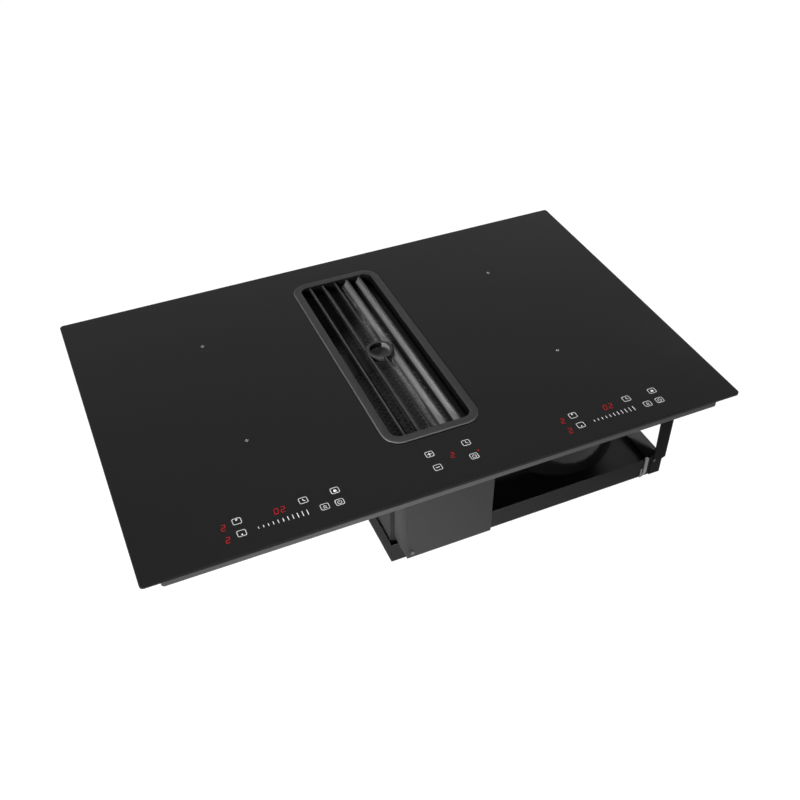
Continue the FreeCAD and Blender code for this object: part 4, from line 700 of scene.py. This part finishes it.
# ---------------------------------------------------------------- symbols printed on the glass
ZONE_X = 0.228
ZONE_ROWS = (-0.0818, 0.1294)
BACK_ROW, FRONT_ROW = -0.209, -0.229
SLIDER_START, SLIDER_STEP, SLIDER_MARKS = -0.031, 0.00605, 11
SLIDER_FIRST, SLIDER_GROWTH = 0.0032, 0.00054
DIGIT_SLANT = math.radians(8)
LAMP_RADIUS = 0.0011
CLEARANCE = 0.00002
SEGMENTS = {"0": "abcdef", "2": "abged"}


def print_level():
    """Where the print starts: a third of its height lies in the glass."""
    return GLASS_TOP - bpy.context.scene.cooktop_glass.relief / 3


def bar(form, x, y, width, depth, turn=0.0, slant=0.0):
    """A printed bar, turned and slanted in the plane of the glass."""
    height = bpy.context.scene.cooktop_glass.relief
    lean = Matrix(((1, math.tan(slant), 0, 0), (0, 1, 0, 0), (0, 0, 1, 0), (0, 0, 0, 1)))
    place = Matrix.Translation((x, y, print_level() + height / 2))
    place = place @ Matrix.Rotation(turn, 4, "Z") @ lean
    bmesh.ops.create_cube(form, size=1.0, matrix=place @ Matrix.Diagonal((width, depth, height, 1)))


def disc(form, x, y, radius, sides):
    """A printed dot."""
    height = bpy.context.scene.cooktop_glass.relief
    bmesh.ops.create_cone(
        form, cap_ends=True, segments=sides, radius1=radius, radius2=radius, depth=height,
        matrix=Matrix.Translation((x, y, print_level() + height / 2)),
    )


def arc(form, x, y, radius, line, start, sweep, steps=16):
    """A printed arc that starts at an angle from +X and sweeps on, in degrees."""
    height = bpy.context.scene.cooktop_glass.relief
    level = print_level()
    part = bmesh.new()
    stand = Matrix.Translation((x, y, level + height / 2))
    stand = stand @ Matrix.Rotation(math.radians(start), 4, "Z")
    across = Matrix.Translation((radius, 0, 0)) @ Matrix.Rotation(math.pi / 2, 4, "X")
    bmesh.ops.create_grid(
        part, x_segments=1, y_segments=1, size=0.5,
        matrix=stand @ across @ Matrix.Diagonal((line, height, 1, 1)),
    )
    bmesh.ops.spin(
        part, geom=list(part.verts) + list(part.edges) + list(part.faces), cent=(x, y, level),
        axis=(0, 0, 1), angle=math.radians(sweep), steps=steps, use_duplicate=False,
        use_merge=False,
    )
    merge_into(form, part)


def key_outline(form, x, y):
    """Rounded outline of a touch key."""
    glass = bpy.context.scene.cooktop_glass
    part = bmesh.new()
    size = Matrix.Diagonal((glass.key_width, glass.key_depth, 1, 1))
    bmesh.ops.create_grid(
        part, x_segments=1, y_segments=1, size=0.5,
        matrix=Matrix.Translation((x, y, print_level())) @ size,
    )
    bmesh.ops.bevel(
        part, geom=list(part.verts), offset=glass.key_corner, segments=4, profile=0.5,
        affect="VERTICES", material=-1,
    )
    bmesh.ops.inset_region(
        part, faces=list(part.faces), thickness=glass.line, use_even_offset=True,
        use_boundary=True,
    )
    middle = max(part.faces, key=lambda face: len(face.verts))
    bmesh.ops.delete(part, geom=[middle], context="FACES_ONLY")
    raised = bmesh.ops.extrude_face_region(part, geom=list(part.faces), use_keep_orig=True)
    verts = [thing for thing in raised["geom"] if isinstance(thing, bmesh.types.BMVert)]
    bmesh.ops.translate(part, verts=verts, vec=(0, 0, glass.relief))
    merge_into(form, part)


def digit(form, x, y, figure):
    """A slanted seven-segment figure."""
    glass = bpy.context.scene.cooktop_glass
    wide, deep, line = glass.digit_width, glass.digit_depth, glass.digit_line
    gap = line * 0.3
    side, end, middle = wide / 2 - line / 2, deep / 2 - line / 2, deep / 4 - line / 4
    lying = (wide - line - 2 * gap, line)
    upright = (line, deep / 2 - line / 2 - 2 * gap)
    spots = {
        "a": (0, end, lying),
        "g": (0, 0, lying),
        "d": (0, -end, lying),
        "b": (side, middle, upright),
        "c": (side, -middle, upright),
        "f": (-side, middle, upright),
        "e": (-side, -middle, upright),
    }
    for letter in SEGMENTS[figure]:
        across, along, size = spots[letter]
        lean = along * math.tan(DIGIT_SLANT)
        bar(form, x + across + lean, y + along, *size, slant=DIGIT_SLANT)


def timer_sign(form, x, y):
    """Two hands of a clock."""
    glass = bpy.context.scene.cooktop_glass
    line, reach = glass.line * 1.2, glass.sign
    bar(form, x, y + reach * 0.35, line, reach)
    bar(form, x + reach * 0.42, y - reach * 0.3, reach * 0.9, line, turn=-0.6)


def power_sign(form, x, y):
    """An open ring with a stroke at its gap."""
    glass = bpy.context.scene.cooktop_glass
    reach = glass.sign
    arc(form, x, y - reach * 0.1, reach * 0.86, glass.line, start=125, sweep=290)
    bar(form, x, y + reach * 0.62, glass.line, reach * 0.95)


def lock_sign(form, x, y):
    """A padlock: body and shackle."""
    glass = bpy.context.scene.cooktop_glass
    reach = glass.sign
    bar(form, x, y - reach * 0.3, reach * 1.3, reach * 0.95)
    arc(form, x, y + reach * 0.175, reach * 0.42, glass.line * 0.9, start=0, sweep=180, steps=8)


def boost_sign(form, x, y):
    """Two chevrons, for more power."""
    glass = bpy.context.scene.cooktop_glass
    reach = glass.sign
    for rise in (-0.55, 0.3):
        for side in (-1, 1):
            place = (x + side * reach * 0.37, y + reach * rise)
            bar(form, *place, reach, glass.line, turn=-side * 0.75)


def dot_sign(form, x, y):
    """A dot near one end of its key, for a rear or front zone."""
    disc(form, x, y, bpy.context.scene.cooktop_glass.sign * 0.37, sides=16)


def minus_sign(form, x, y):
    """One lying stroke."""
    glass = bpy.context.scene.cooktop_glass
    bar(form, x, y, 2 * glass.sign, glass.line * 1.3)


def plus_sign(form, x, y):
    """A lying stroke with an upright arm above and below it."""
    glass = bpy.context.scene.cooktop_glass
    reach, line = glass.sign, glass.line * 1.3
    minus_sign(form, x, y)
    arm = reach - line / 2 - CLEARANCE
    for side in (-1, 1):
        bar(form, x, y + side * (reach - arm / 2), line, arm)


def zone_mark(form, x, y):
    """Small open cross that marks the middle of a cooking zone."""
    glass = bpy.context.scene.cooktop_glass
    arm = glass.sign * 0.45
    for quarter in range(4):
        turn = quarter * math.pi / 2
        away = Vector((arm * 1.25, 0, 0))
        away.rotate(Matrix.Rotation(turn, 3, "Z"))
        bar(form, x + away.x, y + away.y, arm, glass.tick, turn=turn)


# Keys: how far across and along, how far the sign sits above the key's middle, and the sign.
SIDE_KEYS = (
    (-0.0515, BACK_ROW, 0.0022, dot_sign),
    (-0.0515, FRONT_ROW, -0.0022, dot_sign),
    (0.031, BACK_ROW, 0.0, timer_sign),
    (0.0512, FRONT_ROW, 0.0, boost_sign),
    (0.0714, BACK_ROW, 0.0, lock_sign),
    (0.0701, FRONT_ROW, 0.0, power_sign),
)
CENTRE_KEYS = (
    (-0.0256, -0.1987, 0.0, plus_sign),
    (-0.0258, -0.2239, 0.0, minus_sign),
    (0.0258, -0.1984, 0.0, timer_sign),
    (0.0245, -0.2242, 0.0, power_sign),
)
SIDE_DIGITS = (
    (-0.069, -0.213, "2"),
    (-0.069, -0.233, "2"),
    (-0.0041, -0.2128, "0"),
    (0.0042, -0.2128, "2"),
)
CENTRE_DIGIT = (0.0005, -0.2117, "2")
CENTRE_LAMP = (0.0337, -0.2169)


def print_keys(form, middle, keys):
    """Touch keys of one panel, each outline with its sign."""
    for across, along, rise, sign in keys:
        key_outline(form, middle + across, along)
        sign(form, middle + across, along + rise)


def printed_piece(name, form, ink):
    """One print as a piece that belongs to the glass."""
    new_piece(name, turned_right(form), "hob", "black_glass", finish_of(ink))


class COOKTOP_OT_glass(bpy.types.Operator):
    """Glass ceramic top with its foam seal"""

    bl_idname = "cooktop.glass"
    bl_label = "Glass"

    def execute(self, context):
        dress("glass_top", "glass_seal")
        return {"FINISHED"}


class COOKTOP_OT_print(bpy.types.Operator):
    """Printed keys, sliders and zone marks, and the lit digits"""

    bl_idname = "cooktop.print"
    bl_label = "Print"

    def execute(self, context):
        tick = context.scene.cooktop_glass.tick
        for middle, word in ((-ZONE_X, "left"), (ZONE_X, "right")):
            form = bmesh.new()
            print_keys(form, middle, SIDE_KEYS)
            for step in range(SLIDER_MARKS):
                across = middle + SLIDER_START + SLIDER_STEP * step
                bar(form, across, FRONT_ROW, tick, SLIDER_FIRST + SLIDER_GROWTH * step)
            printed_piece(f"print_{word}_panel", form, "print")
            form = bmesh.new()
            for across, along, figure in SIDE_DIGITS:
                digit(form, middle + across, along, figure)
            printed_piece(f"digits_{word}_panel", form, "digits")

        form = bmesh.new()
        print_keys(form, 0.0, CENTRE_KEYS)
        printed_piece("print_centre_panel", form, "print")
        form = bmesh.new()
        digit(form, *CENTRE_DIGIT)
        disc(form, *CENTRE_LAMP, LAMP_RADIUS, sides=20)
        printed_piece("digits_centre_panel", form, "digits")

        form = bmesh.new()
        for across in (-ZONE_X, ZONE_X):
            for along in ZONE_ROWS:
                zone_mark(form, across, along)
        printed_piece("print_zone_marks", form, "print")
        return {"FINISHED"}


def paint_rim(rim):
    """A painted highlight on the bevels round the grille, and painted shade on the walls below it.
    """
    low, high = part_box("grille_frame")
    bevel_depth, wall_inset, wall_drop = 0.004, 0.0118, 0.0006
    steep, flat = 0.2, 0.97
    repaint(rim, "rim_bevel_highlight", lambda spot, way: (
        spot.z > high.z - bevel_depth and steep < way.z < flat
    ))
    repaint(rim, "grille_inside", lambda spot, way: (
        within(spot, low, high, wall_inset) and spot.z < high.z - wall_drop
    ))


def paint_ring(ring):
    """Painted shade inside the finger ring, and a painted highlight where its wall faces left."""
    low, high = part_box("grille_ring")
    wall, upright, leftwards = 0.0045, 0.5, -0.55
    centre, reach = (low + high) / 2, (high.x - low.x) / 2 - wall
    repaint(ring, "grille_inside", lambda spot, way: (
        (spot - centre).xy.length < reach and abs(way.z) < upright
    ))
    repaint(ring, "ring_painted_highlight", lambda spot, way: (
        (spot - centre).xy.length < reach and way.x < leftwards
    ))


class COOKTOP_OT_grille(bpy.types.Operator):
    """Lift-out grille: rim, louvres, finger ring and pads"""

    bl_idname = "cooktop.grille"
    bl_label = "Grille"

    def execute(self, context):
        paint_rim(soften("grille_frame", 0.0005))
        # The louvres carry painted light on their flanks and painted shade on their edges, backs,
        # lips and tops.
        soften("grille_louvres", 0.0004, slot="louvre_painted_light", angle=50)
        paint_ring(soften("grille_ring", 0.0011, segments=4, angle=50))
        dress("grille_pads")
        return {"FINISHED"}


def expanded_metal(form, low, high, level, across, along, strand):
    """A field of diamond mesh, one strand thick."""
    part = bmesh.new()
    middle = (low + high) / 2
    size = high - low
    columns, rows = round(size.x / across), round(size.y / along)
    place = Matrix.Translation((middle.x, middle.y, level))
    bmesh.ops.create_grid(
        part, x_segments=columns, y_segments=rows, size=0.5,
        matrix=place @ Matrix.Diagonal((size.x, size.y, 1, 1)),
    )
    inner = [edge for edge in part.edges if len(edge.link_faces) == 2]
    bmesh.ops.poke(part, faces=part.faces)
    bmesh.ops.dissolve_edges(part, edges=inner, use_verts=False)
    bmesh.ops.wireframe(
        part, faces=part.faces, thickness=strand, offset=0.0, use_replace=True, use_boundary=True,
        use_even_offset=True,
    )
    merge_into(form, part)


class COOKTOP_OT_filter(bpy.types.Operator):
    """Grease filter: frame, meshes and handle, with the collar that carries it"""

    bl_idname = "cooktop.filter"
    bl_label = "Filter"

    def execute(self, context):
        grille = context.scene.cooktop_grille
        soften("filter_frame", 0.0004)
        soften("filter_handle", 0.0007, segments=3)
        # The collar takes the painted shade coat.
        soften("inlet_collar", 0.0004, slot="grille_inside")
        low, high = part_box("filter_mesh")
        frame_low, frame_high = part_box("filter_frame")
        band, bridge, tuck, sink = 0.008, 0.054, 0.0009, 0.0001
        cell = (grille.cell_across, grille.cell_along, grille.strand)
        coarser = (2.4, 2.6, 1.4)
        middle_y = (frame_low.y + frame_high.y) / 2
        half_x = (frame_high.x - frame_low.x) / 2 - band + tuck
        half_y = (frame_high.y - frame_low.y) / 2 - band + tuck
        level = high.z - grille.strand / 2 - sink
        form = bmesh.new()
        for side in (-1, 1):
            ends = sorted((middle_y + side * (bridge / 2 - tuck), middle_y + side * half_y))
            corners = Vector((-half_x, ends[0], 0)), Vector((half_x, ends[1], 0))
            expanded_metal(form, *corners, level, *cell)
        expanded_metal(
            form, Vector((low.x, low.y, 0)), Vector((high.x, high.y, 0)), low.z + grille.strand,
            *(size * share for size, share in zip(cell, coarser)),
        )
        mesh = new_piece("filter_expanded_mesh", turned_right(form), "filter", "mesh_metal")
        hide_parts("filter_mesh")
        return {"FINISHED"}


class COOKTOP_OT_case(bpy.types.Operator):
    """Sheet-metal case under the glass, with its leaf clamps"""

    bl_idname = "cooktop.case"
    bl_label = "Case"

    def execute(self, context):
        steel = context.scene.cooktop_steel
        soften("lower_case", steel.fold)
        soften("worktop_clamps", steel.edge)
        return {"FINISHED"}


class COOKTOP_OT_base(bpy.types.Operator):
    """Air box, pan, posts and the bright clip"""

    bl_idname = "cooktop.base"
    bl_label = "Base"

    def execute(self, context):
        steel = context.scene.cooktop_steel
        soften("plenum", steel.fold)
        pan = soften("base_pan", steel.fold, slot="pan_black")
        low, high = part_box("base_pan")
        wall = 0.005
        inset = 2 * steel.edge + 0.001
        # Painted light on the inner face of the pan's right wall.
        repaint(pan, "pan_side_painted_light", lambda spot, way: way.x < -0.9 and spot.x > high.x - wall)
        # Painted light on the inside faces of the pan.
        repaint(pan, "pan_inside_painted_light", lambda spot, way: (
            within(spot, low, high, inset) and spot.z > low.z + steel.edge
        ))
        for post in ("post_front_right", "post_rear_right", "post_rear_left"):
            soften(post, steel.edge, slot="post_black")
        soften("pan_clip", steel.edge)
        return {"FINISHED"}


class COOKTOP_OT_housing(bpy.types.Operator):
    """Upright housing for the supply terminals"""

    bl_idname = "cooktop.housing"
    bl_label = "Front housing"

    def execute(self, context):
        steel = context.scene.cooktop_steel
        soften("front_housing", steel.fold)
        soften("front_housing_back", steel.edge)
        dress("terminal_block")
        return {"FINISHED"}


class COOKTOP_OT_fan(bpy.types.Operator):
    """Fan housing, wheel and motor"""

    bl_idname = "cooktop.fan"
    bl_label = "Fan"

    def execute(self, context):
        soften("volute_lower", 0.0006, angle=40)
        soften("volute_upper", 0.0012, angle=50, segments=3)
        dress(
            "volute_feet", "fan_wheel", "fan_blades", "motor_stator", "motor_rotor", "motor_shaft",
            "motor_bearings",
        )
        return {"FINISHED"}


class COOKTOP_OT_ducts(bpy.types.Operator):
    """Suction duct, outlet with its flap, and the drip tray"""

    bl_idname = "cooktop.ducts"
    bl_label = "Ducts"

    def execute(self, context):
        soften("suction_duct", 0.0008, segments=3)
        soften("outlet_spigot", 0.0006)
        soften("outlet_flap", 0.0003)
        soften("drip_tray", 0.0004)
        dress("flap_pin")
        return {"FINISHED"}


class COOKTOP_OT_coils(bpy.types.Operator):
    """Coils, sensors and touch boards under the glass"""

    bl_idname = "cooktop.coils"
    bl_label = "Coils"

    def execute(self, context):
        turn_pitch = 0.0026
        for side in ("left", "right"):
            for row in ("front", "rear"):
                node = f"coil_winding_{row}_{side}"
                low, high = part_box(node)
                wound = finish(
                    f"Winding {row} {side}", "turns", (0.46, 0.2, 0.09), 0.45,
                    2 * math.pi / turn_pitch, 0.5, 0.0006, centre=tuple((low + high) / 2),
                )
                dress(node, material=wound)
        dress(
            "coil_carriers", "mica_sheets", "ferrite_bars", "coil_supports",
            "temperature_sensors", "touch_carriers", "touch_boards", "display_blocks",
        )
        return {"FINISHED"}


class COOKTOP_OT_generators(bpy.types.Operator):
    """Generator housings with boards, heat sinks and cooling fans, and the cable inlet"""

    bl_idname = "cooktop.generators"
    bl_label = "Generators"

    def execute(self, context):
        for side in ("left", "right"):
            soften(f"generator_housing_{side}", 0.0004)
            soften(f"cooling_fan_frame_{side}", 0.0008)
            dress(f"generator_board_{side}", f"heat_sink_{side}", f"cooling_rotor_{side}")
        soften("inlet_plate", 0.0003)
        soften("cable_gland", 0.0005, angle=50)
        return {"FINISHED"}


def drive_recess(form):
    """A socket in the outer face of every screw head."""
    round_sides, rim, wall, depth = 12, 0.5, 0.06, 0.0008
    middle = sum((Vector(corner) for corner in CAD_BOX), Vector()) / 2
    heads = [
        face for face in form.faces
        if len(face.verts) >= round_sides
        and (face.calc_center_median() - middle).dot(face.normal) > 0
    ]
    for head in heads:
        radius = math.sqrt(head.calc_area() / math.pi)
        for thickness, sunk in ((rim * radius, 0.0), (wall * radius, -depth)):
            bmesh.ops.inset_individual(
                form, faces=[head], thickness=thickness, depth=sunk, use_even_offset=True
            )


class COOKTOP_OT_fasteners(bpy.types.Operator):
    """Screw heads"""

    bl_idname = "cooktop.fasteners"
    bl_label = "Fasteners"

    def execute(self, context):
        screws = soften("case_screws", 0.0003, angle=50, carve=drive_recess)
        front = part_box("front_housing")[0].y + 0.001
        repaint(screws, "screw_zinc", lambda spot, way: spot.y < front)
        return {"FINISHED"}


# ---------------------------------------------------------------- floor, lights and camera
def make_backdrop_rays(tree):
    """One where a ray comes from the camera, a mirror or glass."""
    rays = tree.nodes.new("ShaderNodeLightPath")
    first = sums(tree, "MAXIMUM", rays.outputs["Is Camera Ray"], rays.outputs["Is Glossy Ray"])
    return sums(tree, "MAXIMUM", first, rays.outputs["Is Transmission Ray"])


def seen_apart(tree, end, lit_by, seen):
    """One shader for the light that reaches the object, another for what is seen behind it."""
    choice = tree.nodes.new("ShaderNodeMixShader")
    tree.links.new(make_backdrop_rays(tree), choice.inputs[0])
    tree.links.new(lit_by.outputs[0], choice.inputs[1])
    tree.links.new(seen.outputs[0], choice.inputs[2])
    tree.links.new(choice.outputs[0], tree.nodes[end].inputs["Surface"])


def make_floor(side, level):
    """A pale floor that shows white and keeps the object's shadow."""
    form = bmesh.new()
    bmesh.ops.create_grid(
        form, x_segments=1, y_segments=1, size=side / 2, matrix=Matrix.Translation((0, 0, level))
    )
    mesh = bpy.data.meshes.new("floor")
    form.to_mesh(mesh)
    form.free()
    floor = bpy.data.objects.new("floor", mesh)
    bpy.context.scene.collection.objects.link(floor)
    material = bpy.data.materials.new("Pale floor")
    material.use_nodes = True
    tree = material.node_tree
    tree.nodes.remove(tree.nodes["Principled BSDF"])
    plain = tree.nodes.new("ShaderNodeBsdfDiffuse")
    plain.inputs["Color"].default_value = (0.8, 0.8, 0.8, 1)
    shade = tree.nodes.new("ShaderNodeBsdfDiffuse")
    shade.inputs["Color"].default_value = (0.05, 0.05, 0.05, 1)
    glow = tree.nodes.new("ShaderNodeEmission")
    glow.inputs["Strength"].default_value = 0.98
    both = tree.nodes.new("ShaderNodeAddShader")
    tree.links.new(glow.outputs[0], both.inputs[0])
    tree.links.new(shade.outputs[0], both.inputs[1])
    seen_apart(tree, "Material Output", plain, both)
    mesh.materials.append(material)


def make_air(strength):
    """Even light from all round, with white behind."""
    world = bpy.data.worlds.new("Studio air")
    bpy.context.scene.world = world
    world.use_nodes = True
    tree = world.node_tree
    air = tree.nodes["Background"]
    white = tree.nodes.new("ShaderNodeBackground")
    for background, level in ((air, strength), (white, 1.0)):
        background.inputs["Strength"].default_value = level
        background.inputs["Color"].default_value = (1, 1, 1, 1)
    seen_apart(tree, "World Output", air, white)


def make_lamp(name, place, aim, width, spread, power):
    """A square lamp that points at its aim."""
    light = bpy.data.lights.new(name, "AREA")
    light.spread = math.radians(spread)
    light.shape = "SQUARE"
    light.size = width
    light.energy = power
    lamp = bpy.data.objects.new(name, light)
    bpy.context.scene.collection.objects.link(lamp)
    lamp.location = place
    lamp.rotation_euler = (Vector(aim) - Vector(place)).to_track_quat("-Z", "Y").to_euler()


def make_camera(lens):
    """The photograph's viewpoint, solved from the corners of the glass."""
    camera = bpy.data.objects.new("camera", bpy.data.cameras.new("camera"))
    bpy.context.scene.collection.objects.link(camera)
    camera.data.lens = lens
    camera.data.sensor_width = 36.0
    camera.data.clip_end = 60.0
    right = Vector((0.91547, -0.40239, -0.00252))
    down = Vector((-0.26722, -0.60322, -0.75148))
    ahead = Vector((0.30086, 0.68863, -0.65975))
    turn = Matrix((right, -down, -ahead)).transposed().to_4x4()
    place = Matrix.Translation((-0.42076, -1.01147, 0.88894))
    camera.matrix_world = place @ turn
    bpy.context.scene.camera = camera


# Lamps: name, place, aim, width and spread in degrees. Their powers are the stage's settings.
LAMPS = (
    ("key", (-0.9, -1.7, 0.42), (-0.1, -0.25, -0.07), 0.25, 30),
    ("rake", (-2.9, -0.5, 1.96), (0, 0, 0), 0.5, 180),
    ("fill", (2.6, -1.6, 1.2), (0.1, 0, -0.1), 1.6, 180),
    ("kicker", (0.62, -0.12, 0.4), (0.335, -0.12, -0.207), 0.08, 24),
    ("top", (0.2, 0.2, 3.0), (0, 0, 0), 2.2, 180),
)
FLOOR_GAP = 0.0002


class COOKTOP_OT_stage(bpy.types.Operator):
    """Pale floor, studio light and the camera"""

    bl_idname = "cooktop.stage"
    bl_label = "Stage"

    def execute(self, context):
        stage = context.scene.cooktop_stage
        make_camera(stage.lens)
        make_floor(stage.floor_size, CAD_BOX[0][2] - FLOOR_GAP)
        make_air(stage.air_light)
        for name, *settings in LAMPS:
            make_lamp(name, *settings, getattr(stage, f"{name}_power"))
        context.scene.view_settings.view_transform = "Standard"
        return {"FINISHED"}


OPERATORS = (
    COOKTOP_OT_glass,
    COOKTOP_OT_print,
    COOKTOP_OT_grille,
    COOKTOP_OT_filter,
    COOKTOP_OT_case,
    COOKTOP_OT_base,
    COOKTOP_OT_housing,
    COOKTOP_OT_fan,
    COOKTOP_OT_ducts,
    COOKTOP_OT_coils,
    COOKTOP_OT_generators,
    COOKTOP_OT_fasteners,
    COOKTOP_OT_stage,
)


class COOKTOP_PT_sidebar(bpy.types.Panel):
    """Steps that dress the cooktop"""

    bl_label = "Cooktop"
    bl_idname = "COOKTOP_PT_sidebar"
    bl_space_type = "VIEW_3D"
    bl_region_type = "UI"
    bl_category = "Cooktop"

    def draw(self, context):
        for operator in OPERATORS:
            self.layout.operator(operator.bl_idname)


SETTINGS = {
    "cooktop_glass": GlassSizes,
    "cooktop_steel": SteelSizes,
    "cooktop_grille": GrilleSizes,
    "cooktop_stage": StageSizes,
}


def register():
    for group in SETTINGS.values():
        bpy.utils.register_class(group)
    for name, group in SETTINGS.items():
        setattr(bpy.types.Scene, name, PointerProperty(type=group))
    for operator in OPERATORS:
        bpy.utils.register_class(operator)
    bpy.utils.register_class(COOKTOP_PT_sidebar)


def unregister():
    bpy.utils.unregister_class(COOKTOP_PT_sidebar)
    for operator in reversed(OPERATORS):
        bpy.utils.unregister_class(operator)
    for name, group in reversed(SETTINGS.items()):
        delattr(bpy.types.Scene, name)
        bpy.utils.unregister_class(group)


def main():
    register()
    for operator in OPERATORS:
        family, name = operator.bl_idname.split(".")
        getattr(getattr(bpy.ops, family), name)()


if __name__ == "__main__":
    main()
